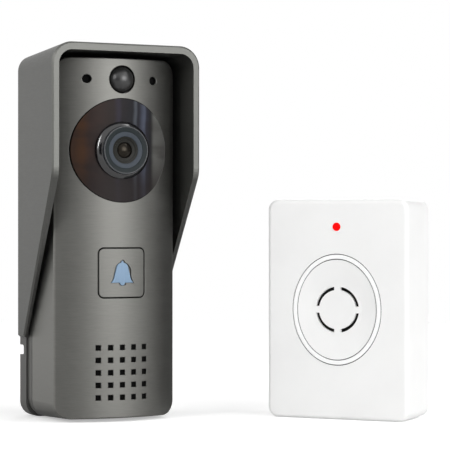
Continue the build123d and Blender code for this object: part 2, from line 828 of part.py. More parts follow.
# Microphone in its rubber sleeve, and the light sensor behind its pipe
sleeve_edge = pin_hole_offset + sleeve_diameter / 2
sleeve_y = crown_y + front_wall + inner_radius - sqrt(inner_radius**2 - sleeve_edge**2) + screw_hole_gap
with BuildPart() as microphone_sleeve:
    add(post(-pin_hole_offset, sensors_z, sleeve_diameter / 2, sleeve_y, board_front))
    add(post(-pin_hole_offset, sensors_z, capsule_diameter / 2, board_front - capsule_depth, board_front),
        mode=Mode.SUBTRACT)
    add(post(-pin_hole_offset, sensors_z, pin_hole_diameter / 2, sleeve_y - over, board_front),
        mode=Mode.SUBTRACT)
save(microphone_sleeve.part, "microphone_sleeve")

with BuildPart() as microphone:
    add(post(-pin_hole_offset, sensors_z, capsule_diameter / 2, board_front - capsule_depth, board_front))
save(microphone.part, "microphone")

hole_fall = face_radius - sqrt(face_radius**2 - pin_hole_offset**2)
pipe_edge = pin_hole_offset + pipe_flange_diameter / 2
pipe_y = crown_y + front_wall + inner_radius - sqrt(inner_radius**2 - pipe_edge**2) + screw_hole_gap
light_chip_top = board_front - light_chip_height
with BuildPart() as light_pipe:
    add(post(pin_hole_offset, sensors_z, pipe_diameter / 2, crown_y + hole_fall + pipe_recess,
             light_chip_top))
    add(post(pin_hole_offset, sensors_z, pipe_flange_diameter / 2, pipe_y, pipe_y + pipe_flange))
save(light_pipe.part, "light_pipe")

with BuildPart() as light_sensor:
    with BuildSketch(face_at(board_front)):
        with Locations((pin_hole_offset, sensors_z)):
            Rectangle(light_chip_side, light_chip_side)
    extrude(amount=light_chip_height)
save(light_sensor.part, "light_sensor")

# Call button: a bowed key with a flange behind the wall, and a bell let into its face
with BuildSketch() as bell_outline:
    with BuildLine():
        Polyline((0, -bell_height / 2), (bell_clapper, -bell_clapper_high), (bell_clapper, -bell_rim_low),
                 (bell_width / 2, -bell_rim_low))
        ThreePointArc((bell_width / 2, -bell_rim_low), (bell_flare, -bell_flare_low),
                      (bell_waist, -bell_waist_low))
        ThreePointArc((bell_waist, -bell_waist_low), (bell_shoulder, bell_shoulder_high), (0, bell_crown))
        mirror(about=Plane.YZ)
    make_face()
    fillet(bell_outline.vertices().group_by(Axis.Y)[0], bell_clapper_round)
    with Locations((0, bell_crown)):
        Circle(bell_height / 2 - bell_crown)

button_back = crown_y + button_thickness
flange_front = crown_y + front_wall + button_flange_gap
button_face = Plane(origin=(0, crown_y + 2 * face_bulge, button_z), x_dir=(1, 0, 0), z_dir=(0, -1, 0))
flange_side = button_side + 2 * button_flange
key_back_radius = face_radius - button_thickness - button_flange
with BuildPart() as call_flange:
    with BuildSketch(button_face):
        RectangleRounded(flange_side, flange_side, button_corner + button_flange)
    extrude(amount=3 * face_bulge)
    add(bowed_slab(flange_front, face_radius - front_wall - button_flange_gap,
                   button_back + button_flange, key_back_radius), mode=Mode.INTERSECT)

with BuildPart() as call_button:
    with BuildSketch(button_face):
        RectangleRounded(button_side, button_side, button_corner)
    extrude(amount=3 * face_bulge)
    add(bowed_slab(crown_y, face_radius, button_back + button_flange, key_back_radius), mode=Mode.INTERSECT)
    fillet(outermost(call_button, (0, -1, 0)).edges(), button_round)
    add(call_flange.part)
    with BuildSketch(button_face) as bell_recess:
        add(bell_outline.sketch)
        offset(amount=bell_gap)
    bell_cut = extrude(amount=3 * face_bulge, mode=Mode.PRIVATE) & bowed_slab(
        crown_y - over, face_radius, crown_y + bell_depth, face_radius - bell_depth)
    add(bell_cut, mode=Mode.SUBTRACT)
save(call_button.part, "call_button")

with BuildPart() as bell_window:
    with BuildSketch(button_face):
        add(bell_outline.sketch)
    extrude(amount=3 * face_bulge)
    add(bowed_slab(crown_y, face_radius, crown_y + bell_depth, face_radius - bell_depth),
        mode=Mode.INTERSECT)
save(bell_window.part, "bell_window")

switch_top = board_front - switch_height
with BuildPart() as switch_stem:
    add(post(0, button_z, stem_diameter / 2, button_back + button_flange - screw_hole_gap,
             switch_top + button_travel))
    add(bowed_slab(crown_y - over, face_radius, button_back + button_flange, key_back_radius),
        mode=Mode.SUBTRACT)
save(switch_stem.part, "switch_stem")

with BuildPart() as button_switch:
    with BuildSketch(face_at(board_front)):
        with Locations((0, button_z)):
            RectangleRounded(switch_side, switch_side, switch_corner)
    extrude(amount=switch_height)
    add(post(0, button_z, stem_diameter / 2 + stem_gap, switch_top - over,
             switch_top + 2 * button_travel + switch_clear), mode=Mode.SUBTRACT)
save(button_switch.part, "button_switch")

# Speaker behind the grille
mesh_y = crown_y + grille_wall + mesh_gap
with BuildPart() as grille_mesh:
    with BuildSketch(face_at(edge_y)):
        with Locations((0, speaker_z)):
            RectangleRounded(mesh_side, mesh_side, mesh_corner)
    extrude(amount=2 * face_bulge)
    add(bowed_slab(mesh_y, face_radius + crown_y - mesh_y, mesh_y + mesh_thickness,
                   face_radius + crown_y - mesh_y - mesh_thickness), mode=Mode.INTERSECT)
save(grille_mesh.part, "grille_mesh")

flange_back = speaker_face + speaker_flange
cup_back = flange_back + speaker_cup_depth
cup_inner = speaker_cup_diameter / 2 - speaker_flange
with BuildPart() as speaker_basket:
    add(square_post(speaker_side, speaker_corner, speaker_z, speaker_face, flange_back))
    add(post(0, speaker_z, speaker_cup_diameter / 2, flange_back, cup_back))
    add(post(0, speaker_z, cup_inner, speaker_face - over, cup_back - speaker_flange), mode=Mode.SUBTRACT)
save(speaker_basket.part, "speaker_basket")

speaker_axis = Axis((0, 0, speaker_z), (0, 1, 0))
speaker_plane = Plane(origin=(0, 0, speaker_z), x_dir=(1, 0, 0), z_dir=(0, 0, 1))
cone_rim = cup_inner + speaker_roll / 2
with BuildPart() as speaker_cone:
    with BuildSketch(speaker_plane):
        with BuildLine():
            Polyline((cone_rim, speaker_face), (cone_rim - speaker_roll, speaker_face - speaker_roll),
                     (cup_inner - speaker_roll, speaker_face), (cup_inner / 2, speaker_face + speaker_roll),
                     (0, speaker_face), (0, speaker_face + cone_thickness),
                     (cup_inner / 2, speaker_face + speaker_roll + cone_thickness),
                     (cup_inner - screw_hole_gap, speaker_face + cone_thickness),
                     (cup_inner - screw_hole_gap, speaker_face), close=True)
        make_face()
    revolve(axis=speaker_axis)
save(speaker_cone.part, "speaker_cone")

with BuildPart() as speaker_magnet:
    add(post(0, speaker_z, magnet_diameter / 2, cup_back, cup_back + magnet_depth))
save(speaker_magnet.part, "speaker_magnet")

# Main board, its screws, the radio's shield and the antenna
with BuildPart() as main_board:
    with BuildSketch(face_at(board_back)):
        with Locations((0, edge_z + (board_bottom + board_top) / 2)):
            Rectangle(board_width, board_top - board_bottom)
        with Locations(*board_screw_places):
            Circle(screw_radius + screw_hole_gap, mode=Mode.SUBTRACT)
    extrude(amount=board_thickness)
save(main_board.part, "main_board")

with BuildPart() as board_screws:
    for x, z in board_screw_places:
        add(screw(x, z, board_back, -1, screw_head_radius, screw_head_depth, screw_radius,
                  board_screw_length))
save(board_screws.part, "board_screws")

with BuildPart() as radio_shield:
    with BuildSketch(face_at(board_front)):
        with Locations((shield_middle_x, edge_z + shield_middle_z)):
            RectangleRounded(shield_width, shield_height, shield_thickness / 2)
    extrude(amount=shield_thickness)
save(radio_shield.part, "radio_shield")

antenna_front = board_back + board_thickness
antenna_top = edge_z + face_height + grow(antenna_front) - side_wall - antenna_clear
with BuildPart() as antenna:
    with BuildSketch(Plane.XY.offset(antenna_top)):
        with Locations((0, antenna_front + antenna_depth / 2)):
            Rectangle(antenna_width, antenna_depth)
    extrude(amount=-antenna_thickness)
save(antenna.part, "antenna")

# Battery tray on the rear cover's inner face, with two cells and their contact plates
trough_radius = cell_diameter / 2 + cell_gap
cell_axis_y = cover_inside - tray_floor - trough_radius
cell_middle = edge_z + cell_bottom + cell_length / 2
trough_length = cell_length + 2 * contact_thickness
cell_places = ((-cell_spacing / 2, cell_axis_y), (cell_spacing / 2, cell_axis_y))
with BuildPart() as battery_tray:
    with BuildSketch(face_at(cover_inside)):
        with Locations((0, cell_middle)):
            Rectangle(cell_spacing + 2 * trough_radius, trough_length + 2 * tray_wall)
    extrude(amount=cover_inside - cell_axis_y)
    with BuildSketch(Plane.XY.offset(cell_middle - trough_length / 2)):
        with Locations(*cell_places):
            Circle(trough_radius)
    extrude(amount=trough_length, mode=Mode.SUBTRACT)
save(battery_tray.part, "battery_tray")

with BuildPart() as battery_cells:
    with BuildSketch(Plane.XY.offset(cell_middle - cell_length / 2)):
        with Locations(*cell_places):
            Circle(cell_diameter / 2)
    extrude(amount=cell_length)
save(battery_cells.part, "battery_cells")

with BuildPart() as battery_contacts:
    for end in (-1, 1):
        with BuildSketch(Plane.XY.offset(cell_middle + end * cell_length / 2)):
            with Locations(*cell_places):
                Rectangle(contact_side, contact_side)
        extrude(amount=end * contact_thickness)
save(battery_contacts.part, "battery_contacts")

# Charging socket and its rubber flap at the back
usb_z = edge_z + usb_height
usb_mouth = cover_back - flap_thickness
with BuildPart() as charging_socket:
    with BuildSketch(face_at(usb_mouth)):
        with Locations((0, usb_z)):
            RectangleRounded(usb_width, usb_thickness, usb_corner)
    extrude(amount=usb_length)
    with BuildSketch(face_at(cover_inside)):
        with Locations((0, usb_z)):
            Rectangle(usb_width + 2 * usb_flange, usb_thickness + 2 * usb_flange)
    extrude(amount=usb_flange_thickness)
    with BuildSketch(face_at(usb_mouth)):
        with Locations((0, usb_z)):
            RectangleRounded(usb_width - 2 * usb_wall, usb_thickness - 2 * usb_wall, usb_corner - usb_wall)
    extrude(amount=usb_length - usb_flange, mode=Mode.SUBTRACT)
save(charging_socket.part, "charging_socket")

with BuildPart() as charging_flap:
    with BuildSketch(face_at(cover_back)):
        with Locations((0, usb_z)):
            RectangleRounded(flap_width, flap_height, flap_corner)
    extrude(amount=flap_thickness)
save(charging_flap.part, "charging_flap")

# Chime. It stands beside the door station, turned about an upright axis.
chime_right = (cos(radians(chime_turn)), sin(radians(chime_turn)), 0)
chime_out = (sin(radians(chime_turn)), -cos(radians(chime_turn)), 0)
chime_left = (-chime_right[0], -chime_right[1], 0)
chime_in = (-chime_out[0], -chime_out[1], 0)
chime_split = chime_depth - chime_back_depth


def chime_at(depth):
    """The upright plane at a depth behind the chime's front, looking out, with Z up."""
    ahead = chime_depth / 2 - depth
    return Plane(origin=(chime_x + ahead * chime_out[0], chime_y + ahead * chime_out[1], 0),
                 x_dir=chime_right, z_dir=chime_out)


def chime_side(inset):
    """The upright plane inside the chime's left side, looking out of that side, with Z up."""
    away = chime_width / 2 - inset
    return Plane(origin=(chime_x + away * chime_left[0], chime_y + away * chime_left[1], 0),
                 x_dir=chime_out, z_dir=chime_left)


def chime_post(x, z, radius, front, back):
    """A round post between two depths of the chime."""
    with BuildPart() as rod:
        with BuildSketch(chime_at(back)):
            with Locations((x, z)):
                Circle(radius)
        extrude(amount=back - front)
    return rod.part


def chime_box(width, height, corner, z, front, back):
    """A block with rounded corners between two depths of the chime."""
    with BuildPart() as block:
        with BuildSketch(chime_at(back)):
            with Locations((0, z)):
                RectangleRounded(width, height, corner)
        extrude(amount=back - front)
    return block.part


def chime_oval(width, height, front, back):
    """An oval block about the middle of the ring, between two depths of the chime."""
    with BuildPart() as block:
        with BuildSketch(chime_at(back)):
            with Locations((0, ring_middle)):
                Ellipse(width / 2, height / 2)
        extrude(amount=back - front)
    return block.part


chime_screw_places = [(x, z) for x in (-chime_screw_x, chime_screw_x)
                      for z in (chime_screw_low, chime_screw_high)]
chime_led_z = chime_board_middle + chime_led_rise
chime_board_back = chime_board_setback + chime_board_thickness
chime_board_places = [(x, chime_board_middle + side * (chime_board_height / 2 - chime_board_boss - over))
                      for x in (-chime_board_screw_x, chime_board_screw_x) for side in (-1, 1)]
key_depth = chime_board_back + key_switch_side / 2
key_places = [(chime_depth / 2 - key_depth, key_middle + side * key_spacing / 2) for side in (-1, 1)]

with BuildPart() as chime_front_shell:
    add(chime_box(chime_width, chime_height, chime_corner, chime_height / 2, 0, chime_split))
    fillet(outermost(chime_front_shell, chime_out).edges(), chime_front_round)
    add(chime_box(chime_width - 2 * chime_wall, chime_height - 2 * chime_wall, chime_corner - chime_wall,
                  chime_height / 2, chime_wall, chime_split + over), mode=Mode.SUBTRACT)
    for x, z in chime_screw_places:
        add(chime_post(x, z, chime_boss_radius, chime_wall / 2, chime_split))
    for x, z in chime_board_places:
        add(chime_post(x, z, chime_board_boss, chime_wall / 2, chime_board_setback))
    for x, z in chime_screw_places:
        add(chime_post(x, z, screw_radius + screw_hole_gap, chime_split - chime_screw_length / 2,
                       chime_split + over), mode=Mode.SUBTRACT)
    for x, z in chime_board_places:
        add(chime_post(x, z, screw_radius + screw_hole_gap, chime_board_setback - board_screw_length,
                       chime_board_setback + over), mode=Mode.SUBTRACT)
    add(chime_oval(ring_width, ring_height, -over, ring_seat), mode=Mode.SUBTRACT)
    add(chime_oval(ring_width - 2 * ring_band, ring_height - 2 * ring_band, -over, chime_wall + over),
        mode=Mode.SUBTRACT)
    add(chime_post(0, chime_led_z, chime_led_diameter / 2 + chime_led_gap, -over, chime_board_setback),
        mode=Mode.SUBTRACT)
    with BuildSketch(chime_side(chime_wall + over)):
        with Locations(*key_places):
            RectangleRounded(key_height + 2 * key_gap, key_width + 2 * key_gap, over)
    extrude(amount=chime_wall + 2 * over, mode=Mode.SUBTRACT)
save(chime_front_shell.part, "chime_front_shell")

# The chime's oval ring, and the dished plate inside it with four curved sound slots
with BuildPart() as chime_ring:
    add(chime_oval(ring_width, ring_height, -ring_proud, ring_seat))
    add(chime_oval(ring_width - 2 * ring_band, ring_height - 2 * ring_band, -ring_proud - over,
                   ring_seat + over), mode=Mode.SUBTRACT)
    fillet(outermost(chime_ring, chime_out).edges(), ring_round)
save(chime_ring.part, "chime_ring")

dish_back = chime_wall + dish_wall / 2
with BuildPart() as chime_dish:
    add(chime_oval(ring_width - 2 * ring_band, ring_height - 2 * ring_band, 0, chime_wall))
    add(chime_oval(ring_width, ring_height, chime_wall, dish_back))
    add(chime_post(0, ring_middle, chime_speaker_diameter / 2, dish_back, chime_speaker_setback))
    add(chime_post(0, ring_middle, chime_speaker_diameter / 2 - dish_wall, dish_back - over / 2,
                   chime_speaker_setback + over), mode=Mode.SUBTRACT)
    with BuildSketch(chime_at(0)):
        with Locations((0, ring_middle)):
            Ellipse(ring_width / 2 - ring_band, ring_height / 2 - ring_band)
    with BuildSketch(chime_at(dish_depth)):
        with Locations((0, ring_middle)):
            Circle(slot_diameter / 2 + slot_width)
    loft(mode=Mode.SUBTRACT)
    with BuildSketch(chime_at(chime_wall + over)):
        with Locations((0, ring_middle)):
            Circle(slot_diameter / 2)
            Circle(slot_diameter / 2 - slot_width, mode=Mode.SUBTRACT)
            Rectangle(slot_bridge, slot_diameter + over, mode=Mode.SUBTRACT)
            Rectangle(slot_diameter + over, slot_bridge, mode=Mode.SUBTRACT)
    extrude(amount=chime_wall + 2 * over, mode=Mode.SUBTRACT)
    with BuildSketch(chime_at(chime_wall + over)):
        with Locations((0, ring_middle)):
            Circle(slot_diameter / 2 + slot_width / 2)
    extrude(amount=over - dish_wall / 4, mode=Mode.SUBTRACT)
save(chime_dish.part, "chime_dish")

with BuildPart() as chime_led:
    add(chime_post(0, chime_led_z, chime_led_diameter / 2, -chime_led_proud, chime_board_setback))
    fillet(outermost(chime_led, chime_out).edges(), chime_led_round)
save(chime_led.part, "chime_led")

# Chime sounder
sounder_back = chime_speaker_setback + chime_speaker_flange
chime_cup_back = sounder_back + chime_cup_depth
with BuildPart() as chime_sounder:
    add(chime_post(0, ring_middle, chime_speaker_diameter / 2, chime_speaker_setback, sounder_back))
    add(chime_post(0, ring_middle, chime_speaker_diameter / 2 - dish_wall, sounder_back, chime_cup_back))
    add(chime_post(0, ring_middle, chime_speaker_diameter / 2 - 2 * dish_wall, chime_speaker_setback - over,
                   chime_cup_back - chime_speaker_flange), mode=Mode.SUBTRACT)
save(chime_sounder.part, "chime_sounder")

with BuildPart() as chime_cone:
    add(chime_post(0, ring_middle, chime_speaker_diameter / 2 - 2 * dish_wall, chime_speaker_setback,
                   chime_speaker_setback + cone_thickness))
save(chime_cone.part, "chime_cone")

with BuildPart() as chime_magnet:
    add(chime_post(0, ring_middle, chime_magnet_diameter / 2, chime_cup_back,
                   chime_cup_back + chime_magnet_depth))
save(chime_magnet.part, "chime_magnet")

# Chime board, with the switches behind the two side keys
with BuildPart() as chime_board:
    with BuildSketch(chime_at(chime_board_back)):
        with Locations((0, chime_board_middle)):
            Rectangle(chime_board_width, chime_board_height)
        with Locations((0, ring_middle)):
            Circle(chime_speaker_diameter / 2 + chime_board_gap, mode=Mode.SUBTRACT)
        with Locations(*chime_board_places):
            Circle(screw_radius + screw_hole_gap, mode=Mode.SUBTRACT)
    extrude(amount=chime_board_thickness)
save(chime_board.part, "chime_board")

with BuildPart() as chime_board_screws:
    for x, z in chime_board_places:
        add(chime_post(x, z, screw_head_radius, chime_board_back, chime_board_back + screw_head_depth))
        add(chime_post(x, z, screw_radius, chime_board_back - board_screw_length, chime_board_back))
save(chime_board_screws.part, "chime_board_screws")

key_inner = chime_wall + key_flange
switch_inset = key_inner + key_travel + key_gap
with BuildPart() as key_switches:
    with BuildSketch(chime_side(switch_inset + key_switch_side)):
        with Locations(*key_places):
            Rectangle(key_switch_side, key_switch_side)
    extrude(amount=key_switch_side)
save(key_switches.part, "key_switches")

for name, place in zip(("volume_key", "melody_key"), key_places):
    with BuildPart() as side_key:
        with BuildSketch(chime_side(key_inner)):
            with Locations(place):
                RectangleRounded(key_height, key_width, over - key_gap)
        extrude(amount=key_inner + key_proud)
        fillet(outermost(side_key, chime_left).edges(), key_proud / 2)
        with BuildSketch(chime_side(key_inner)):
            with Locations(place):
                Rectangle(key_height + 2 * key_flange_rim, key_width + 2 * key_flange_rim)
        extrude(amount=key_flange - key_gap / 2)
    save(side_key.part, name)

# Chime back shell with the battery bay, and the bay's door
bay_length = chime_cell_length + 2 * contact_thickness
bay_height = chime_cell_count * chime_cell_spacing
cell_depth = chime_depth - door_thickness - door_back_gap - bay_gap - chime_cell_diameter / 2
bay_front = cell_depth - chime_cell_diameter / 2 - bay_gap
with BuildPart() as chime_back_shell:
    add(chime_box(chime_width - 2 * chime_seam, chime_height - 2 * chime_seam, chime_corner - chime_seam,
                  chime_height / 2, chime_split, chime_depth))
    fillet(outermost(chime_back_shell, chime_in).edges(), chime_back_round)
    add(chime_box(chime_width - 2 * chime_wall - 2 * chime_seam,
                  chime_height - 2 * chime_wall - 2 * chime_seam, chime_corner - chime_wall - chime_seam,
                  chime_height / 2, chime_split - over, chime_depth - chime_wall), mode=Mode.SUBTRACT)
    for x, z in chime_screw_places:
        add(chime_post(x, z, chime_boss_radius, chime_split, chime_depth - chime_wall / 2))
    add(chime_box(bay_length + 2 * bay_wall, bay_height + 2 * bay_wall, bay_wall, chime_cell_middle,
                  bay_front - bay_wall, chime_depth - chime_wall / 2))
    add(chime_box(bay_length, bay_height, bay_gap, chime_cell_middle, bay_front, chime_depth + over),
        mode=Mode.SUBTRACT)
    add(chime_box(door_width + 2 * door_gap, door_height + 2 * door_gap, over, chime_cell_middle,
                  chime_depth - door_thickness - door_back_gap, chime_depth + over), mode=Mode.SUBTRACT)
    for x, z in chime_screw_places:
        add(chime_post(x, z, screw_head_radius + screw_hole_gap, chime_depth - screw_head_depth,
                       chime_depth + over), mode=Mode.SUBTRACT)
        add(chime_post(x, z, screw_radius + screw_hole_gap, chime_split - over, chime_depth),
            mode=Mode.SUBTRACT)
save(chime_back_shell.part, "chime_back_shell")

with BuildPart() as chime_screws:
    for x, z in chime_screw_places:
        add(chime_post(x, z, screw_head_radius, chime_depth - screw_head_depth, chime_depth))
        add(chime_post(x, z, screw_radius, chime_depth - screw_head_depth - chime_screw_length,
                       chime_depth - screw_head_depth))
save(chime_screws.part, "chime_screws")

with BuildPart() as chime_battery_door:
    add(chime_box(door_width, door_height, over - door_gap, chime_cell_middle, chime_depth - door_thickness,
                  chime_depth))
    add(chime_box(door_grip_width, door_grip_width / 2, door_grip_depth, chime_cell_middle + door_height / 3,
                  chime_depth - door_grip_depth, chime_depth + over), mode=Mode.SUBTRACT)
save(chime_battery_door.part, "chime_battery_door")

cell_heights = [chime_cell_middle + (index - (chime_cell_count - 1) / 2) * chime_cell_spacing
                for index in range(chime_cell_count)]
cell_side_place = chime_depth / 2 - cell_depth
with BuildPart() as chime_cells:
    with BuildSketch(chime_side((chime_width + chime_cell_length) / 2)):
        with Locations(*[(cell_side_place, z) for z in cell_heights]):
            Circle(chime_cell_diameter / 2)
    extrude(amount=chime_cell_length)
save(chime_cells.part, "chime_cells")

with BuildPart() as chime_contacts:
    for inset in ((chime_width - chime_cell_length) / 2, (chime_width + bay_length) / 2):
        with BuildSketch(chime_side(inset)):
            with Locations(*[(cell_side_place, z) for z in cell_heights]):
                Rectangle(chime_cell_diameter - over, chime_cell_diameter - over)
        extrude(amount=contact_thickness)
save(chime_contacts.part, "chime_contacts")
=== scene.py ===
# %% [markdown]
# # A video intercom: door station, rain hood and wireless chime
#
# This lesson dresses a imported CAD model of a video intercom. The door station stands on its wall
# bracket under a flared rain hood, and the white chime stands beside it. The CAD model gives the
# places, so each new piece is set on a box or a joint that is read from it.

# %% Load the frame
import json
from math import cos, pi, radians, sin, sqrt

import bmesh
import bpy
from mathutils import Matrix, Vector


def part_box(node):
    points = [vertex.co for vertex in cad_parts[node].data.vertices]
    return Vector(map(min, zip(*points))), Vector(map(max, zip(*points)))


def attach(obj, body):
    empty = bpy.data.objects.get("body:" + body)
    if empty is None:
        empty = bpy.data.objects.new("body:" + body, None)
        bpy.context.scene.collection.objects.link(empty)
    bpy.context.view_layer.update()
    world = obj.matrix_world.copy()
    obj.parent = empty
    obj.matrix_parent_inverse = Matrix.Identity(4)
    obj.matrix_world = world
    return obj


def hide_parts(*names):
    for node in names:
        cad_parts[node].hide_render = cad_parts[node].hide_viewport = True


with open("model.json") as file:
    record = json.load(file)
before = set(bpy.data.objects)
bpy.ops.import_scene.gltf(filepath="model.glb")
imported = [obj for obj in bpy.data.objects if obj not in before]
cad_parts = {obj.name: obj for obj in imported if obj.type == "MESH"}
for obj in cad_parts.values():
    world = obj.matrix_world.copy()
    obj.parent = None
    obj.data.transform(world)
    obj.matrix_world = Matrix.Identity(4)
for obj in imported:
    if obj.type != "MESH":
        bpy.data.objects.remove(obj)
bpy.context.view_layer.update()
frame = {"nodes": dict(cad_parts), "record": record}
MM = 0.001
scene = bpy.context.scene

# %% [markdown]
# The camera stands level, to the left of the door station, so the upright edges stay parallel. A
# long lens keeps the perspective as flat as it is in a product picture.

# %% Camera
FOCAL_LENGTH = 154.47
CAMERA_SPOT = (-294.1, -714.7, 75.1)
CAMERA_TURN = -26.51
camera_data = bpy.data.cameras.new("studio_camera")
camera_data.sensor_width = 36.0
camera_data.lens = FOCAL_LENGTH
camera = bpy.data.objects.new("studio_camera", camera_data)
camera.location = Vector(CAMERA_SPOT) * MM
camera.rotation_euler = (radians(90), 0, radians(CAMERA_TURN))
scene.collection.objects.link(camera)
scene.camera = camera
scene.view_settings.view_transform = "Standard"
print("camera stands", round(camera.location.length, 3), "m from the foot")

# %% [markdown]
# Node trees are built with a few helpers. Each takes numbers, colours or sockets, and gives back the
# socket that its node puts out.

# %% Node helpers


def noise(tree, vector, scale, detail=3.0):
    """A noise texture. Its scale is a number, or a socket that gives one."""
    node = tree.nodes.new("ShaderNodeTexNoise")
    node.inputs["Detail"].default_value = detail
    tree.links.new(vector, node.inputs["Vector"])
    if isinstance(scale, (int, float)):
        node.inputs["Scale"].default_value = scale
    else:
        tree.links.new(scale, node.inputs["Scale"])
    return node.outputs["Fac"]


def stretched(tree, vector, scale):
    """The coordinates, stretched by a Mapping node."""
    node = tree.nodes.new("ShaderNodeMapping")
    node.inputs["Scale"].default_value = scale
    tree.links.new(vector, node.inputs["Vector"])
    return node.outputs["Vector"]


def calc(tree, operation, *values):
    """A Math node over numbers and sockets."""
    node = tree.nodes.new("ShaderNodeMath")
    node.operation = operation
    for index, value in enumerate(values):
        if isinstance(value, (int, float)):
            node.inputs[index].default_value = value
        else:
            tree.links.new(value, node.inputs[index])
    return node.outputs[0]


def ranged(tree, value, low, high, to_low=0.0, to_high=1.0, smooth=True):
    """A value taken from one range to another, by a smooth step or in a straight line."""
    node = tree.nodes.new("ShaderNodeMapRange")
    node.interpolation_type = "SMOOTHSTEP" if smooth else "LINEAR"
    numbers = {"From Min": low, "From Max": high, "To Min": to_low, "To Max": to_high}
    for socket, number in numbers.items():
        node.inputs[socket].default_value = number
    tree.links.new(value, node.inputs["Value"])
    return node.outputs["Result"]


def mixed(tree, mask, first, second):
    """A colour mix. Each colour is three numbers, or a socket that gives one."""
    node = tree.nodes.new("ShaderNodeMix")
    node.data_type = "RGBA"
    tree.links.new(mask, node.inputs["Factor"])
    for socket, value in ((node.inputs["A"], first), (node.inputs["B"], second)):
        if isinstance(value, tuple):
            socket.default_value = (*value, 1.0)
        else:
            tree.links.new(value, socket)
    return node.outputs["Result"]


def vector_calc(tree, operation, *values):
    """A Vector Math node over triples and sockets. Its number comes out."""
    node = tree.nodes.new("ShaderNodeVectorMath")
    node.operation = operation
    for index, value in enumerate(values):
        if isinstance(value, tuple):
            node.inputs[index].default_value = value
        else:
            tree.links.new(value, node.inputs[index])
    return node.outputs["Value"]


print("node helpers are ready")

# %% [markdown]
# A satin metal front shows its light as one broad band, so a wide soft box stands a little to the
# right of the door station's axis. It lights the chime's face too. At the left, one strip lights the
# hood's side, a narrow one draws the bright crescent on the lens's surround, and a third reaches the
# side from behind. A high box at the right fills the tops, and one behind the set lights the backs.
# The world is grey for soft light, and white where the camera, metal or glass looks at it.

# %% Lights
LOOK_AT = Vector((30, -40, 70)) * MM
# A box's strength in its middle, and how far from the middle it starts to fade and has faded. Its
# rim is at 0.5.
MIDDLE_STRENGTH, FADE_START, FADE_END = 2.2, 0.05, 0.5


def soft_box(name, azimuth, elevation, distance, size, energy, tall=1.0):
    """A soft box that fades at its rim. The azimuth turns leftwards from the front."""
    data = bpy.data.lights.new(name, "AREA")
    data.shape = "RECTANGLE"
    data.size = size
    data.size_y = size * tall
    data.energy = energy
    data.use_nodes = True
    tree = data.node_tree
    across = tree.nodes.new("ShaderNodeNewGeometry").outputs["Parametric"]
    from_middle = vector_calc(tree, "DISTANCE", across, (0.5, 0.5, 0.0))
    strength = ranged(tree, from_middle, FADE_START, FADE_END, MIDDLE_STRENGTH, 0.0)
    tree.links.new(strength, tree.nodes["Emission"].inputs["Strength"])
    box = bpy.data.objects.new(name, data)
    a, e = radians(azimuth), radians(elevation)
    aim = Vector((-sin(a) * cos(e), -cos(a) * cos(e), sin(e)))
    box.location = LOOK_AT + distance * aim
    box.rotation_euler = aim.to_track_quat("Z", "Y").to_euler()
    scene.collection.objects.link(box)
    return box


soft_box("front_box", azimuth=-13, elevation=12, distance=1.5, size=1.7, energy=24.6)
soft_box("left_strip", azimuth=86, elevation=28, distance=1.5, size=0.55, energy=4.5, tall=3.6)
soft_box("rim_strip", azimuth=140, elevation=10, distance=1.5, size=0.4, energy=1.4, tall=3)
soft_box("lens_strip", azimuth=72, elevation=25, distance=1.5, size=0.12, energy=6.8, tall=11)
soft_box("top_box", azimuth=-58, elevation=48, distance=1.4, size=1.0, energy=6.9)
soft_box("back_box", azimuth=216, elevation=26, distance=1.6, size=1.2, energy=6.5)

# %% World
SOFT_LEVEL = 0.4
world = bpy.data.worlds.new("studio_world")
scene.world = world
world.use_nodes = True
tree = world.node_tree
tree.nodes.clear()
world_out = tree.nodes.new("ShaderNodeOutputWorld")


def seen_mask(tree):
    """One where a ray comes from the camera, a mirror finish or glass, and nought elsewhere."""
    path = tree.nodes.new("ShaderNodeLightPath").outputs
    camera_or_mirror = calc(tree, "MAXIMUM", path["Is Camera Ray"], path["Is Glossy Ray"])
    return calc(tree, "MAXIMUM", camera_or_mirror, path["Is Transmission Ray"])


soft_light = tree.nodes.new("ShaderNodeBackground")
soft_light.inputs["Color"].default_value = (SOFT_LEVEL, SOFT_LEVEL, SOFT_LEVEL, 1)
white_sight = tree.nodes.new("ShaderNodeBackground")
white_sight.inputs["Color"].default_value = (1, 1, 1, 1)
world_mix = tree.nodes.new("ShaderNodeMixShader")
tree.links.new(seen_mask(tree), world_mix.inputs[0])
tree.links.new(soft_light.outputs[0], world_mix.inputs[1])
tree.links.new(white_sight.outputs[0], world_mix.inputs[2])
tree.links.new(world_mix.outputs[0], world_out.inputs["Surface"])
print("world level for soft light:", SOFT_LEVEL)

# %% [markdown]
# The floor is a plain pale disc. Close to the set it takes the soft shadow, and further out it fades
# to the white of the background, so no edge shows. Three cards are seen by reflections only. One far
# to the right draws the dark edge on the metal, one at the left darkens what the lens mirrors, and a
# small one between the two units keeps the chime's reflection off the front's right edge.

# %% Floor and cards
FLOOR_RADIUS = 3.0
FLOOR_GREY = 0.86
FLOOR_LIFT = 0.42
FADE_NEAR, FADE_FAR = 0.25, 0.75


def stage_piece(name, mesh_bm, material):
    """Links a piece of the studio that is no part of the object."""
    mesh = bpy.data.meshes.new(name)
    mesh_bm.to_mesh(mesh)
    mesh_bm.free()
    mesh.materials.append(material)
    piece = bpy.data.objects.new(name, mesh)
    scene.collection.objects.link(piece)
    return piece


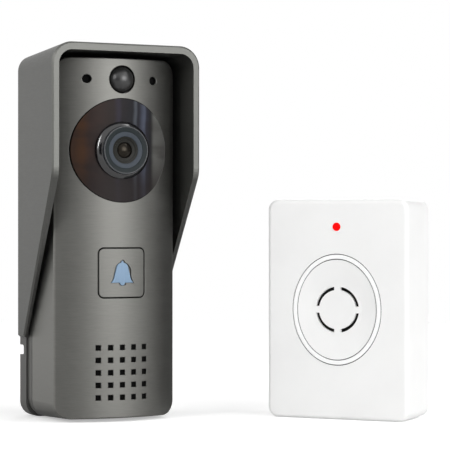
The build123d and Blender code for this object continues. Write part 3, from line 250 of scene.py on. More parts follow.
floor_paint = bpy.data.materials.new("floor_paint")
floor_paint.use_nodes = True
tree = floor_paint.node_tree
tree.nodes.clear()
out = tree.nodes.new("ShaderNodeOutputMaterial")
from_set = vector_calc(tree, "LENGTH", tree.nodes.new("ShaderNodeTexCoord").outputs["Object"])
far_share = ranged(tree, from_set, FADE_NEAR, FADE_FAR, smooth=False)
near = tree.nodes.new("ShaderNodeBsdfDiffuse")
near.inputs["Color"].default_value = (FLOOR_GREY, FLOOR_GREY, FLOOR_GREY, 1)
sight = tree.nodes.new("ShaderNodeLightPath").outputs["Is Camera Ray"]
lift = tree.nodes.new("ShaderNodeEmission")
near_sum = tree.nodes.new("ShaderNodeAddShader")
far = tree.nodes.new("ShaderNodeEmission")
floor_mix = tree.nodes.new("ShaderNodeMixShader")
tree.links.new(calc(tree, "MULTIPLY", sight, FLOOR_LIFT), lift.inputs["Strength"])
tree.links.new(near.outputs[0], near_sum.inputs[0])
tree.links.new(lift.outputs[0], near_sum.inputs[1])
tree.links.new(calc(tree, "MULTIPLY", far_share, seen_mask(tree)), floor_mix.inputs[0])
tree.links.new(near_sum.outputs[0], floor_mix.inputs[1])
tree.links.new(far.outputs[0], floor_mix.inputs[2])
tree.links.new(floor_mix.outputs[0], out.inputs["Surface"])

bm = bmesh.new()
bmesh.ops.create_circle(bm, cap_ends=True, segments=96, radius=FLOOR_RADIUS)
stage_piece("studio_floor", bm, floor_paint)


def card_paint(name, grey):
    """A matt grey for a card."""
    material = bpy.data.materials.new(name)
    material.use_nodes = True
    shader = material.node_tree.nodes["Principled BSDF"]
    shader.inputs["Base Color"].default_value = (grey, grey, grey, 1)
    shader.inputs["Roughness"].default_value = 0.9
    return material


def card(name, material, half_width, half_height, place):
    """A card that only reflections see. It stands upright, and its place turns and moves it."""
    card_bm = bmesh.new()
    bmesh.ops.create_grid(card_bm, x_segments=1, y_segments=1, size=1.0)
    bmesh.ops.scale(card_bm, vec=(half_width, half_height, 1), verts=card_bm.verts)
    bmesh.ops.transform(card_bm, verts=card_bm.verts,
                        matrix=place @ Matrix.Rotation(radians(90), 4, "X"))
    made = stage_piece(name, card_bm, material)
    made.visible_camera = False
    made.visible_diffuse = False
    made.visible_shadow = False


black_card = card_paint("black_card", 0.03)
grey_card = card_paint("grey_card", 0.20)
SIDEWAYS = Matrix.Rotation(radians(90), 4, "Z")
card("dark_card", grey_card, 0.5, 0.5, Matrix.Translation((0.62, -0.05, 0.5)) @ SIDEWAYS)
card("left_card", black_card, 0.2, 0.2,
     Matrix.Rotation(radians(-43), 4, "Z") @ Matrix.Translation((0, -0.62, 0.1)))
card("chime_card", grey_card, 0.012, 0.04, Matrix.Translation((0.043, -0.038, 0.041)) @ SIDEWAYS)

# %% [markdown]
# Effects that more than one finish shares are shader node groups. Each is built once, and puts out
# only masks and heights, so that the shader itself stays in the material.
#
# - brushed_grain: faint level lines, as a brushed or blasted metal front has
# - moulded_grain: the fine texture of a plastic moulding, with slow clouds in it
# - edge_wear_and_painted_rims: a mask along the edges, where handling thins or polishes the finish;
#   it also carries the painted shade on the bell's rim and the painted highlight on the window's
#   right rim
# - settled_dust: a mask on what faces up

# %% Shader groups


def new_group(name, inputs, outputs):
    """An empty shader group with its sockets, and its input and output nodes."""
    group = bpy.data.node_groups.new(name, "ShaderNodeTree")
    for socket, kind, value in inputs:
        made = group.interface.new_socket(socket, in_out="INPUT", socket_type=kind)
        if value is not None:
            made.default_value = value
    for socket, kind in outputs:
        group.interface.new_socket(socket, in_out="OUTPUT", socket_type=kind)
    return group, group.nodes.new("NodeGroupInput"), group.nodes.new("NodeGroupOutput")


VECTOR, NUMBER = "NodeSocketVector", "NodeSocketFloat"

FINE_LINES, BROAD_LINES = (260, 260, 2600), (14, 14, 700)
FINE_SHARE, BROAD_SHARE, PIT_SHARE = 0.78, 0.22, 0.6
brushed, inside, outside = new_group("brushed_grain", [("Vector", VECTOR, None)],
                                     [("Height", NUMBER), ("Shade", NUMBER)])
fine_lines = noise(brushed, stretched(brushed, inside.outputs["Vector"], FINE_LINES), 1.0, 4.0)
broad_lines = noise(brushed, stretched(brushed, inside.outputs["Vector"], BROAD_LINES), 1.0, 2.0)
pits = noise(brushed, inside.outputs["Vector"], 9000.0, 2.0)
brushed.links.new(calc(brushed, "ADD", fine_lines, calc(brushed, "MULTIPLY", pits, PIT_SHARE)),
                  outside.inputs["Height"])
brushed.links.new(calc(brushed, "ADD", calc(brushed, "MULTIPLY", fine_lines, FINE_SHARE),
                       calc(brushed, "MULTIPLY", broad_lines, BROAD_SHARE)), outside.inputs["Shade"])

moulded, inside, outside = new_group("moulded_grain",
                                     [("Vector", VECTOR, None), ("Scale", NUMBER, 4000.0)],
                                     [("Height", NUMBER), ("Shade", NUMBER)])
moulded.links.new(noise(moulded, inside.outputs["Vector"], inside.outputs["Scale"], 4.0),
                  outside.inputs["Height"])
moulded.links.new(noise(moulded, inside.outputs["Vector"], 55.0, 3.0), outside.inputs["Shade"])

EDGE_MASK_WIDTH = 0.35
wear_and_painted_edges, inside, outside = new_group("edge_wear_and_painted_rims", [("Vector", VECTOR, None)], [("Mask", NUMBER)])
geometry = wear_and_painted_edges.nodes.new("ShaderNodeNewGeometry")
rounded = wear_and_painted_edges.nodes.new("ShaderNodeBevel")
rounded.samples = 6
rounded.inputs["Radius"].default_value = EDGE_MASK_WIDTH * MM
same_way = vector_calc(wear_and_painted_edges, "DOT_PRODUCT", geometry.outputs["Normal"], rounded.outputs["Normal"])
edge = ranged(wear_and_painted_edges, calc(wear_and_painted_edges, "SUBTRACT", 1.0, same_way), 0.01, 0.2)
patchy = ranged(wear_and_painted_edges, noise(wear_and_painted_edges, inside.outputs["Vector"], 260.0, 5.0), 0.35, 0.7, 0.25, 1.0)
wear_and_painted_edges.links.new(calc(wear_and_painted_edges, "MULTIPLY", edge, patchy), outside.inputs["Mask"])

dusty, inside, outside = new_group("settled_dust", [("Vector", VECTOR, None)], [("Mask", NUMBER)])
geometry = dusty.nodes.new("ShaderNodeNewGeometry")
parts = dusty.nodes.new("ShaderNodeSeparateXYZ")
dusty.links.new(geometry.outputs["Normal"], parts.inputs[0])
facing_up = ranged(dusty, parts.outputs["Z"], 0.5, 1.0)
speckle = ranged(dusty, noise(dusty, inside.outputs["Vector"], 1500.0, 5.0), 0.45, 0.75)
dusty.links.new(calc(dusty, "MULTIPLY", facing_up, speckle), outside.inputs["Mask"])
print("shader groups:", [g.name for g in bpy.data.node_groups])

# %% [markdown]
# A finish is one Principled shader. Its colour is shaded by the grain, changed along its edges by
# wear and dulled by dust; where a dark edge colour is given, the edges take painted shade instead.
# Its roughness follows the same grain, and the grain's height drives a bump.

# %% Finishes


DUST_COLOR = (0.55, 0.53, 0.5)


def finish(name, color, roughness, metallic=0.0, grain="moulded_grain", scale=4000.0, shade=0.1,
           bump=0.1, relief=0.01, wear=0.15, worn_color=None, dust=0.0, **plain):
    """A material with grain, edge wear and dust; a given dark edge colour paints shade along the edges
    instead. Plain values go to the shader's own sockets.
    """
    material = bpy.data.materials.new(name)
    material.use_nodes = True
    tree = material.node_tree
    shader = tree.nodes["Principled BSDF"]
    place = tree.nodes.new("ShaderNodeTexCoord").outputs["Object"]
    effects = {}
    for effect in (grain, "edge_wear_and_painted_rims", "settled_dust"):
        node = tree.nodes.new("ShaderNodeGroup")
        node.node_tree = bpy.data.node_groups[effect]
        tree.links.new(place, node.inputs["Vector"])
        effects[effect] = node
    if grain == "moulded_grain":
        effects[grain].inputs["Scale"].default_value = scale
    shaded = effects[grain].outputs["Shade"]

    darker = tuple(c * (1 - shade) for c in color)
    lighter = tuple(min(1.0, c * (1 + shade)) for c in color)
    tone = mixed(tree, ranged(tree, shaded, 0.3, 0.7), darker, lighter)
    edge_color = worn_color or tuple(min(1.0, c * 1.6 + 0.02) for c in color)
    for effect, share, second in (("edge_wear_and_painted_rims", wear, edge_color), ("settled_dust", dust, DUST_COLOR)):
        tone = mixed(tree, calc(tree, "MULTIPLY", effects[effect].outputs["Mask"], share), tone, second)
    tree.links.new(tone, shader.inputs["Base Color"])
    tree.links.new(ranged(tree, shaded, 0.3, 0.7, roughness * 0.93, min(1.0, roughness * 1.07)),
                   shader.inputs["Roughness"])
    bumped = tree.nodes.new("ShaderNodeBump")
    bumped.inputs["Strength"].default_value = bump
    bumped.inputs["Distance"].default_value = relief * MM
    tree.links.new(effects[grain].outputs["Height"], bumped.inputs["Height"])
    tree.links.new(bumped.outputs["Normal"], shader.inputs["Normal"])
    shader.inputs["Metallic"].default_value = metallic
    for socket, value in plain.items():
        shader.inputs[socket.replace("_", " ").title().replace("Ior", "IOR")].default_value = value
    return material


def painted_light_band(material, axis, near, far, share):
    """Painted light: past a distance from the origin, along one axis, the colour is scaled by a share,
    so that band looks lit more, or less, than the rest. Near and far are where the change starts and
    ends, in millimetres."""
    tree = material.node_tree
    shader = tree.nodes["Principled BSDF"]
    place = tree.nodes.new("ShaderNodeTexCoord").outputs["Object"]
    parts = tree.nodes.new("ShaderNodeSeparateXYZ")
    tree.links.new(place, parts.inputs[0])
    distance = calc(tree, "ABSOLUTE", parts.outputs[axis])
    level = ranged(tree, distance, near * MM, far * MM, 1.0, share)
    scaled = tree.nodes.new("ShaderNodeVectorMath")
    scaled.operation = "SCALE"
    tree.links.new(shader.inputs["Base Color"].links[0].from_socket, scaled.inputs[0])
    tree.links.new(level, scaled.inputs["Scale"])
    tree.links.new(scaled.outputs[0], shader.inputs["Base Color"])


RECIPES = {
    "gunmetal": dict(color=(0.144, 0.143, 0.134), roughness=0.47, metallic=1.0,
                     grain="brushed_grain", shade=0.06, bump=0.14, relief=0.02, wear=0.25,
                     dust=0.06),
    # Painted shade: the hood is a darker copy of the gunmetal, so its sides and inside look less lit.
    "shaded_hood_gunmetal": dict(color=(0.100, 0.1005, 0.0945), roughness=0.48, metallic=0.9,
                          grain="brushed_grain", shade=0.06, bump=0.14, relief=0.02, wear=0.35,
                          dust=0.06),
    "dark_housing": dict(color=(0.075, 0.074, 0.070), roughness=0.55, scale=5200.0, bump=0.25,
                         relief=0.02, dust=0.08),
    "black_rubber": dict(color=(0.012, 0.012, 0.012), roughness=0.78, scale=2600.0, bump=0.3,
                         wear=0.05),
    "steel": dict(color=(0.52, 0.52, 0.51), roughness=0.32, metallic=1.0, scale=900.0, bump=0.08,
                  wear=0.3),
    "smoked_window": dict(color=(0.034, 0.027, 0.026), roughness=0.12, scale=30.0, bump=0.02,
                          wear=0.1, specular_ior_level=0.03),
    "dark_gloss": dict(color=(0.010, 0.011, 0.013), roughness=0.1, scale=30.0, bump=0.02,
                       wear=0.1),
    "lens_ring_blue": dict(color=(0.052, 0.062, 0.076), roughness=0.5, scale=60.0, bump=0.04,
                           specular_ior_level=0.12),
    "black_plastic": dict(color=(0.014, 0.014, 0.015), roughness=0.5, scale=5000.0, bump=0.3),
    "lens_glass": dict(color=(0.008, 0.007, 0.006), roughness=0.12, scale=20.0, bump=0.0, wear=0.0,
                       specular_ior_level=0.2, specular_tint=(1.0, 0.88, 0.7, 1.0)),
    "circuit_board": dict(color=(0.010, 0.085, 0.038), roughness=0.35, scale=700.0, shade=0.25,
                          bump=0.15, relief=0.04),
    "clear_lamp": dict(color=(0.30, 0.30, 0.33), roughness=0.08, scale=30.0, bump=0.0),
    # The bell's edges take a dark colour: painted shade, a dark line along its rim.
    "bell_blue": dict(color=(0.215, 0.315, 0.44), roughness=0.5, scale=200.0, shade=0.03,
                      bump=0.03, wear=0.85, worn_color=(0.04, 0.06, 0.09), specular_ior_level=0.2),
    "stem_white": dict(color=(0.70, 0.70, 0.68), roughness=0.45, shade=0.03),
    "cone_paper": dict(color=(0.030, 0.029, 0.028), roughness=0.9, scale=1800.0, shade=0.2,
                       bump=0.5, relief=0.06),
    "plated_brass": dict(color=(0.70, 0.55, 0.25), roughness=0.28, metallic=1.0, scale=300.0,
                         bump=0.05),
    "cell_wrap": dict(color=(0.07, 0.18, 0.33), roughness=0.3, scale=40.0, shade=0.05, bump=0.03),
    "white_plastic": dict(color=(0.88, 0.88, 0.875), roughness=0.38, scale=6500.0, shade=0.012,
                          bump=0.06, wear=0.1, dust=0.02),
    "white_gloss": dict(color=(0.97, 0.97, 0.97), roughness=0.16, scale=60.0, shade=0.01,
                        bump=0.01, wear=0.05),
    "cover_paint": dict(color=(0.118, 0.117, 0.110), roughness=0.5, metallic=0.7, scale=5200.0,
                        bump=0.15, relief=0.02, dust=0.06),
    "bezel_gloss": dict(color=(0.004, 0.004, 0.005), roughness=0.12, scale=30.0, bump=0.01,
                        wear=0.05, specular_ior_level=1.0),
    "bezel_satin": dict(color=(0.013, 0.018, 0.020), roughness=0.45, scale=3000.0, bump=0.05,
                        wear=0.3, specular_ior_level=0.12),
    "stop_black": dict(color=(0.013, 0.013, 0.011), roughness=0.45, scale=3000.0, bump=0.05,
                       wear=0.4, specular_ior_level=0.15),
    "lip_grey": dict(color=(0.033, 0.036, 0.040), roughness=0.2, scale=300.0, bump=0.02, wear=0.3,
                     specular_ior_level=0.35),
    # Painted shade: the dark of the chime ring's groove.
    "groove_shade_grey": dict(color=(0.02, 0.02, 0.02), roughness=0.9, scale=3000.0, wear=0.0),
    "speaker_cloth": dict(color=(0.004, 0.004, 0.004), roughness=1.0, scale=3000.0, wear=0.0,
                          specular_ior_level=0.1),
    # Painted shade: the black of the cups in the pin holes, of the ring round the window and of the
    # lining in the button's groove.
    "painted_shade_black": dict(color=(0.003, 0.003, 0.003), roughness=1.0, scale=3000.0, wear=0.0,
                       specular_ior_level=0.1),
    "dome_satin": dict(color=(0.014, 0.014, 0.014), roughness=0.34, scale=2000.0, bump=0.03,
                       wear=0.0, specular_ior_level=0.75),
    "red_led": dict(color=(0.90, 0.002, 0.002), roughness=0.5, scale=60.0, shade=0.02, bump=0.0,
                    emission_strength=0.3, specular_ior_level=0.05),
}
FINISHES = {name: finish(name, **recipe) for name, recipe in RECIPES.items()}
lamp_shader = FINISHES["red_led"].node_tree.nodes["Principled BSDF"]
lamp_shader.inputs["Emission Color"].default_value = (1, 0, 0, 1)
# Painted light: the hood's front rim and the housing's sides are painted lighter than the rest,
# as if they caught more of the light.
painted_light_band(FINISHES["shaded_hood_gunmetal"], "Y", near=41.0, far=42.0, share=1.31)
painted_light_band(FINISHES["gunmetal"], "X", near=24.0, far=24.8, share=1.35)
print("finishes:", len(FINISHES))

# %% [markdown]
# The window's dark smoke carries painted reflections: warm at the left, cooler at the right, with
# upright streaks, calmer below. A fine light line along its right rim is a painted highlight.

# %% The window's tint and painted reflections
WINDOW_HALF = 19.7
WINDOW_SMOKE, RIM_HIGHLIGHT = (0.022, 0.018, 0.018), (0.21, 0.21, 0.20)
WANDER = 0.03
CLOUDS = (60, 60, 160)
CLOUDED_SHARE, CALM_SHARE = 0.7, 0.8
CALM_BELOW, STREAKED_ABOVE = 0.088, 0.104
RIM_START, RIM_END = 0.011, 0.017
# Painted reflections: the tones the streaks take from the window's left edge to its right.
REFLECTION_STREAKS = ((0.0, (0.044, 0.026, 0.019)), (0.10, (0.058, 0.030, 0.018)), (0.19, (0.038, 0.025, 0.022)),
           (0.40, (0.025, 0.019, 0.018)), (0.46, (0.029, 0.025, 0.035)), (0.50, (0.020, 0.018, 0.020)),
           (0.60, (0.020, 0.020, 0.023)), (0.64, (0.066, 0.072, 0.084)), (0.67, (0.025, 0.025, 0.031)),
           (0.74, (0.068, 0.076, 0.104)), (0.77, (0.027, 0.027, 0.035)), (0.81, (0.022, 0.022, 0.024)),
           (0.86, (0.098, 0.098, 0.092)), (1.0, (0.076, 0.076, 0.072)))
tree = FINISHES["smoked_window"].node_tree
place = tree.nodes.new("ShaderNodeTexCoord").outputs["Object"]
axes = tree.nodes.new("ShaderNodeSeparateXYZ")
tree.links.new(place, axes.inputs[0])
across = ranged(tree, axes.outputs["X"], -WINDOW_HALF * MM, WINDOW_HALF * MM, smooth=False)
wander = calc(tree, "MULTIPLY", calc(tree, "SUBTRACT", noise(tree, place, 90.0, 2.0), 0.5), WANDER)
ramp = tree.nodes.new("ShaderNodeValToRGB")
ramp.color_ramp.interpolation = "EASE"
ramp.color_ramp.elements[0].color = (*REFLECTION_STREAKS[0][1], 1)
ramp.color_ramp.elements[1].color = (*REFLECTION_STREAKS[-1][1], 1)
for spot, tint in REFLECTION_STREAKS[1:-1]:
    ramp.color_ramp.elements.new(spot).color = (*tint, 1)
tree.links.new(calc(tree, "ADD", across, wander), ramp.inputs["Fac"])
cloud = noise(tree, stretched(tree, place, CLOUDS), 1.0, 2.0)
clouded = ranged(tree, cloud, 0.4, 0.8, 0.0, CLOUDED_SHARE)
calm = ranged(tree, axes.outputs["Z"], CALM_BELOW, STREAKED_ABOVE, CALM_SHARE, 0.0)
smoke_and_reflections = mixed(tree, calc(tree, "MAXIMUM", clouded, calm), ramp.outputs["Color"], WINDOW_SMOKE)
# Painted highlight: a fine light line along the window's right rim, from the edge mask on its right side.
rim_edge = tree.nodes.new("ShaderNodeGroup")
rim_edge.node_tree = wear_and_painted_edges
tree.links.new(place, rim_edge.inputs["Vector"])
right_side = ranged(tree, axes.outputs["X"], RIM_START, RIM_END)
rim_highlight_mask = calc(tree, "MULTIPLY", rim_edge.outputs["Mask"], right_side)
tree.links.new(mixed(tree, rim_highlight_mask, smoke_and_reflections, RIM_HIGHLIGHT),
               tree.nodes["Principled BSDF"].inputs["Base Color"])
print("window streaks:", len(REFLECTION_STREAKS))

# %% [markdown]
# New pieces are shaped in millimetres in a frame of their own: x to the right as one looks at the
# face, y up and z straight out of it. One helper turns such a shape to its place, gives it its finish
# and names the body that carries it. A shape of one outline is turned on a lathe with spin, a flat
# one is an outline that is extruded, and bevel takes the sharp edge off both.

# %% Helpers for new pieces


def mm_box(node):
    """A node's lowest and highest corners, in millimetres."""
    low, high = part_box(node)
    return low / MM, high / MM


def middle(node):
    """The middle of a node's box, in millimetres."""
    low, high = mm_box(node)
    return (low + high) / 2


def facing(origin, out):
    """The frame of a face that looks along out: x to its right, y up it and z out of it."""
    out = Vector(out).normalized()
    up = Vector((0, 1, 0)) if abs(out.z) > 0.9 else Vector((0, 0, 1))
    right = up.cross(out).normalized()
    axes = Matrix((right, out.cross(right), out)).transposed()
    return Matrix.Translation(origin) @ axes.to_4x4()


def merged(shapes):
    """One bmesh of several, each with its own place. The separate ones are used up."""
    whole = bmesh.new()
    for shape, place in shapes:
        bmesh.ops.transform(shape, verts=shape.verts, matrix=place)
        part = bpy.data.meshes.new("part_of_a_piece")
        shape.to_mesh(part)
        shape.free()
        whole.from_mesh(part)
        bpy.data.meshes.remove(part)
    return whole


def piece(name, shape, place, body, slot, *nodes, material=None, sharp=38):
    """Sets a shape in its place, and says what it rides on, what it replaces and its finish."""
    bmesh.ops.remove_doubles(shape, verts=shape.verts, dist=0.001)
    bmesh.ops.recalc_face_normals(shape, faces=shape.faces)
    bmesh.ops.transform(shape, verts=shape.verts, matrix=Matrix.Scale(MM, 4) @ place)
    mesh = bpy.data.meshes.new(name)
    shape.to_mesh(mesh)
    shape.free()
    mesh.shade_smooth()
    mesh.set_sharp_from_angle(angle=radians(sharp))
    mesh.materials.append(FINISHES[material or slot])
    made = bpy.data.objects.new(name, mesh)
    scene.collection.objects.link(made)
    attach(made, body)
    if nodes:
        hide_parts(*nodes)
    print(name, "faces:", len(mesh.polygons))
    return made


def soften(shape, edges, width, segments=3):
    """Rounds the named edges."""
    bmesh.ops.bevel(shape, geom=edges, offset=width, offset_type="OFFSET", segments=segments,
                    profile=0.5, affect="EDGES", clamp_overlap=True, material=-1)


def turned(outline, rounds=(), steps=96):
    """A shape turned about z from the points (radius, height) of its outline. Each of rounds is the
    number of a point, and the width that its corner is rounded by."""
    shape = bmesh.new()
    points = [shape.verts.new((radius, 0, height)) for radius, height in outline]
    for pair in zip(points, points[1:] + points[:1]):
        shape.edges.new(pair)
    for index, width in rounds:
        bmesh.ops.bevel(shape, geom=[points[index]], offset=width, offset_type="OFFSET", segments=4,
                        profile=0.5, affect="VERTICES", clamp_overlap=True, material=-1)
    bmesh.ops.spin(shape, geom=shape.verts[:] + shape.edges[:], cent=(0, 0, 0), axis=(0, 0, 1),
                   dvec=(0, 0, 0), angle=2 * pi, steps=steps, use_merge=True)
    bmesh.ops.remove_doubles(shape, verts=shape.verts, dist=0.001)
    return shape


def raised(shape, height, faces=None, keep=True):
    """Extrudes the named faces, or else all of them, and moves what is new by the height."""
    grown = bmesh.ops.extrude_face_region(shape, geom=faces or shape.faces[:], use_keep_orig=keep)["geom"]
    bmesh.ops.translate(shape, vec=(0, 0, height),
                        verts=[item for item in grown if isinstance(item, bmesh.types.BMVert)])


def sliced(shape, spot, normal):
    """Cuts the faces that a plane crosses in two, and keeps both halves."""
    bmesh.ops.bisect_plane(shape, geom=shape.verts[:] + shape.edges[:] + shape.faces[:], dist=0.0001,
                           plane_co=spot, plane_no=normal)


def oval_band(outer, inner, low, high, rounding, steps=128):
    """A flat oval band between two ovals of given half sizes, with its upper edges rounded."""
    shape = bmesh.new()
    for across, tall in (outer, inner):
        ring = bmesh.ops.create_circle(shape, cap_ends=False, segments=steps, radius=1.0)["verts"]
        bmesh.ops.scale(shape, vec=(across, tall, 1), verts=ring)
        bmesh.ops.translate(shape, vec=(0, 0, low), verts=ring)
    bmesh.ops.bridge_loops(shape, edges=shape.edges[:])
    raised(shape, high - low)
    shape.normal_update()
    rims = [edge for edge in shape.edges if all(vert.co.z > high - 0.001 for vert in edge.verts)
            and any(abs(face.normal.z) < 0.5 for face in edge.link_faces)]
    if rounding:
        soften(shape, rims, rounding, 4)
    return shape


def rounded_sheet(width, height, corner, low, segments):
    """One flat face with rounded corners."""
    shape = bmesh.new()
    bmesh.ops.create_grid(shape, x_segments=1, y_segments=1, size=0.5)
    bmesh.ops.transform(shape, verts=shape.verts,
                        matrix=Matrix.Translation((0, 0, low)) @ Matrix.Diagonal((width, height, 1, 1)))
    bmesh.ops.bevel(shape, geom=shape.verts[:], offset=corner, offset_type="OFFSET", segments=segments,
                    profile=0.5, affect="VERTICES", clamp_overlap=True, material=-1)
    return shape


def rounded_frame(width, height, corner, band, low, high):
    """A flat frame with rounded corners, whose band lies inside the given outline."""
    shape = rounded_sheet(width, height, corner, low, 8)
    bmesh.ops.inset_region(shape, faces=shape.faces[:], thickness=band, use_boundary=True,
                           use_even_offset=True)
    middles = [face for face in shape.faces if len(face.verts) > 4]
    bmesh.ops.delete(shape, geom=middles, context="FACES")
    raised(shape, high - low)
    return shape


def rounded_plate(width, height, corner, low, high, rounding):
    """A plate with rounded corners, and with its upper edges rounded too."""
    shape = rounded_sheet(width, height, corner, low, 6)
    raised(shape, high - low)
    if rounding:
        rims = [edge for edge in shape.edges if all(vert.co.z > high - 0.001 for vert in edge.verts)]
        soften(shape, rims, rounding)
    return shape


FRONT, BACK, UPWARDS = Vector((0, -1, 0)), Vector((0, 1, 0)), Vector((0, 0, 1))
AS_IT_IS = Matrix.Identity(4)
CROWN_Y = mm_box("camera_window")[0].y
print("front crown stands at y =", round(CROWN_Y, 3), "mm")

# %% [markdown]
# The lens unit stands on the window. Its bezel has a glossy flank that swells outwards, so that a
# light beside it draws a thin crescent, and its flat front plate is satin. Inside lie a lighter ring,
# a stepped black stop and a small coated lens. Each is an outline turned about the lens's own axis.

# %% Lens unit
lens_middle = middle("lens_bezel")
lens_place = facing((lens_middle.x, CROWN_Y, lens_middle.z), FRONT)
piece("bezel_flank", turned([(11.0, -1.5), (11.0, 0.5), (10.6, 0.934), (10.2, 1.37), (9.2, 2.1),
                             (8.7, 2.1), (8.7, -1.5)], [(1, 0.06)]),
      lens_place, "door_unit", "dark_gloss", "lens_bezel", material="bezel_gloss", sharp=40)
piece("bezel_lip", turned([(9.27, 1.9), (9.27, 3.15), (9.05, 3.57), (8.7, 3.57), (8.6, 3.4),
                           (8.6, 1.9)], [(1, 0.15), (2, 0.12), (3, 0.08)]),
      lens_place, "door_unit", "dark_gloss", "lens_bezel", material="lip_grey")
piece("bezel_plate", turned([(8.62, 3.0), (8.62, 3.44), (7.05, 3.3), (6.95, 3.2), (6.95, 3.0)],
                            [(3, 0.05)]),
      lens_place, "door_unit", "dark_gloss", "lens_bezel", material="bezel_satin")
piece("blue_ring", turned([(6.96, 2.4), (6.96, 3.16), (5.4, 2.92), (5.2, 2.75), (5.2, 2.4)],
                          [(1, 0.1), (2, 0.12)]),
      lens_place, "door_unit", "lens_ring_blue", "lens_ring")
piece("lens_stop", turned([(5.24, 1.3), (5.24, 2.7), (4.3, 2.45), (4.2, 2.2), (3.1, 2.0),
                           (3.0, 1.5), (0, 1.5), (0, 1.3)]),
      lens_place, "door_unit", "black_plastic", "front_lens", material="stop_black")
piece("small_lens", turned([(0, 2.62), (0.8, 2.55), (1.6, 2.36), (2.3, 2.06), (3.02, 1.72),
                            (3.02, 1.4), (0, 1.4)]),
      lens_place, "door_unit", "lens_glass", "front_lens", sharp=70)

# %% [markdown]
# The two pin holes beside the movement sensor are lined with a small cup each, whose black is
# painted shade, so they look black from every side. A cup follows the slope of the bowed front where
# it sits.

# %% Cups in the pin holes
FACE_RADIUS = 41.56
PIN_HOLE_X = 13.74
CUP_SUNK = 0.12
sensors_z = middle("pir_dome").z
cups = []
for side in (-1, 1):
    slope = side * PIN_HOLE_X / FACE_RADIUS
    out = Vector((slope, -sqrt(1 - slope * slope), 0))
    seat = Vector((0, CROWN_Y + FACE_RADIUS, sensors_z)) + out * (FACE_RADIUS - CUP_SUNK)
    cups.append((turned([(0, -1.4), (1.55, -1.4), (1.55, 0), (1.3, 0), (1.2, -0.9), (0, -1.0)],
                        [(2, 0.1), (3, 0.1)], 48), facing(seat, out)))
piece("pin_hole_cups", merged(cups), AS_IT_IS, "door_unit", "black_rubber",
      material="painted_shade_black")

# %% [markdown]
# The bell on the call button is an outline, filled, extruded and bent to the bow of the front. It is
# a little smaller than its recess, so a fine dark line runs round it, and its finish paints its edges
# dark as well, as painted shade. A thin black ring lies round the window in the same way; its black
# is a painted shade line.

# %% Bell and window trim


def bowed(shape):
    """Bends a flat shape back to the bow of the front, about the upright through its middle."""
    for vert in shape.verts:
        vert.co.z -= FACE_RADIUS - sqrt(FACE_RADIUS ** 2 - vert.co.x ** 2)
    return shape


BELL = ((0.0, 4.65), (0.32, 4.52), (0.42, 4.2), (0.5, 3.9), (1.25, 3.68), (1.85, 3.25), (2.25, 2.6),
        (2.5, 1.6), (2.8, 0.5), (3.08, -0.5), (3.38, -1.8), (3.7, -2.7), (4.15, -3.3), (4.5, -3.5),
        (4.5, -3.75), (1.0, -3.75), (0.9, -4.3), (0.55, -4.68), (0.0, -4.8))
BELL_DEPTH = 0.78
SLICES, SLICE_WIDTH = 8, 0.52
bell = bmesh.new()
spots = [bell.verts.new((x, y, -BELL_DEPTH)) for x, y in BELL]
spots += [bell.verts.new((-x, y, -BELL_DEPTH)) for x, y in reversed(BELL[1:-1])]
bell.faces.new(spots)
raised(bell, BELL_DEPTH)
bell_rim = [edge for edge in bell.edges if all(vert.co.z > -0.001 for vert in edge.verts)]
soften(bell, bell_rim, 0.09, 2)
for step in range(-SLICES, SLICES + 1):
    sliced(bell, (step * SLICE_WIDTH, 0, 0), (1, 0, 0))
button_z = middle("call_button").z
button_place = facing((0, CROWN_Y, button_z), FRONT)
piece("bell_light", bowed(bell), button_place, "call_key", "bell_blue", "bell_window")
piece("window_shade_ring", bowed(oval_band((19.98, 19.98), (19.73, 19.73), -0.5, 0.05, 0)),
      facing((0, CROWN_Y, middle("camera_window").z), FRONT), "door_unit", "black_rubber",
      material="painted_shade_black")

# %% [markdown]
# A thin black band lines the groove round the call button; its black is painted shade in the groove.
# It is a rounded square, inset to a ring, given its thickness and bent to the bow of the front. The
# button keeps free of it as it moves.

# %% Black lining in the button's groove
LINING_WIDTH, LINING_CORNER, LINING_BAND = 19.36, 2.33, 0.32
groove_lining = rounded_frame(LINING_WIDTH, LINING_WIDTH, LINING_CORNER, LINING_BAND, -1.0, -0.15)
straight = [edge for edge in groove_lining.edges if edge.calc_length() > 10]
bmesh.ops.subdivide_edges(groove_lining, edges=straight, cuts=12)
piece("button_groove_lining", bowed(groove_lining), button_place, "door_unit", "black_rubber", material="painted_shade_black")

# %% [markdown]
# A soft frame lies round the stepped back of the door unit and closes on the bracket, so a fine dark
# line is all that shows between the two. It comes away with the door unit.

# %% Frame between the door unit and its bracket
cover_low, cover_high = mm_box("rear_cover")
cover_middle = (cover_low + cover_high) / 2
frame_width, frame_height = cover_high.x - cover_low.x - 0.4, cover_high.z - cover_low.z - 0.4
STEP_Y, FRAME_BACK_Y = -6.28, -3.75
FRAME_CORNER, FRAME_BAND = 7.0, 0.58
piece("wall_frame", rounded_frame(frame_width, frame_height, FRAME_CORNER, FRAME_BAND, 0,
                                  FRAME_BACK_Y - STEP_Y),
      facing((0, STEP_Y, cover_middle.z), BACK), "door_unit", "black_rubber", material="cover_paint")

# %% [markdown]
# Screws show on the hood's roof, on the chime's back, and on the rear cover once the door unit is off
# its bracket. A head is turned, then bisected along the sides of its cross, and the faces of the
# cross are pushed in.

# %% Screws


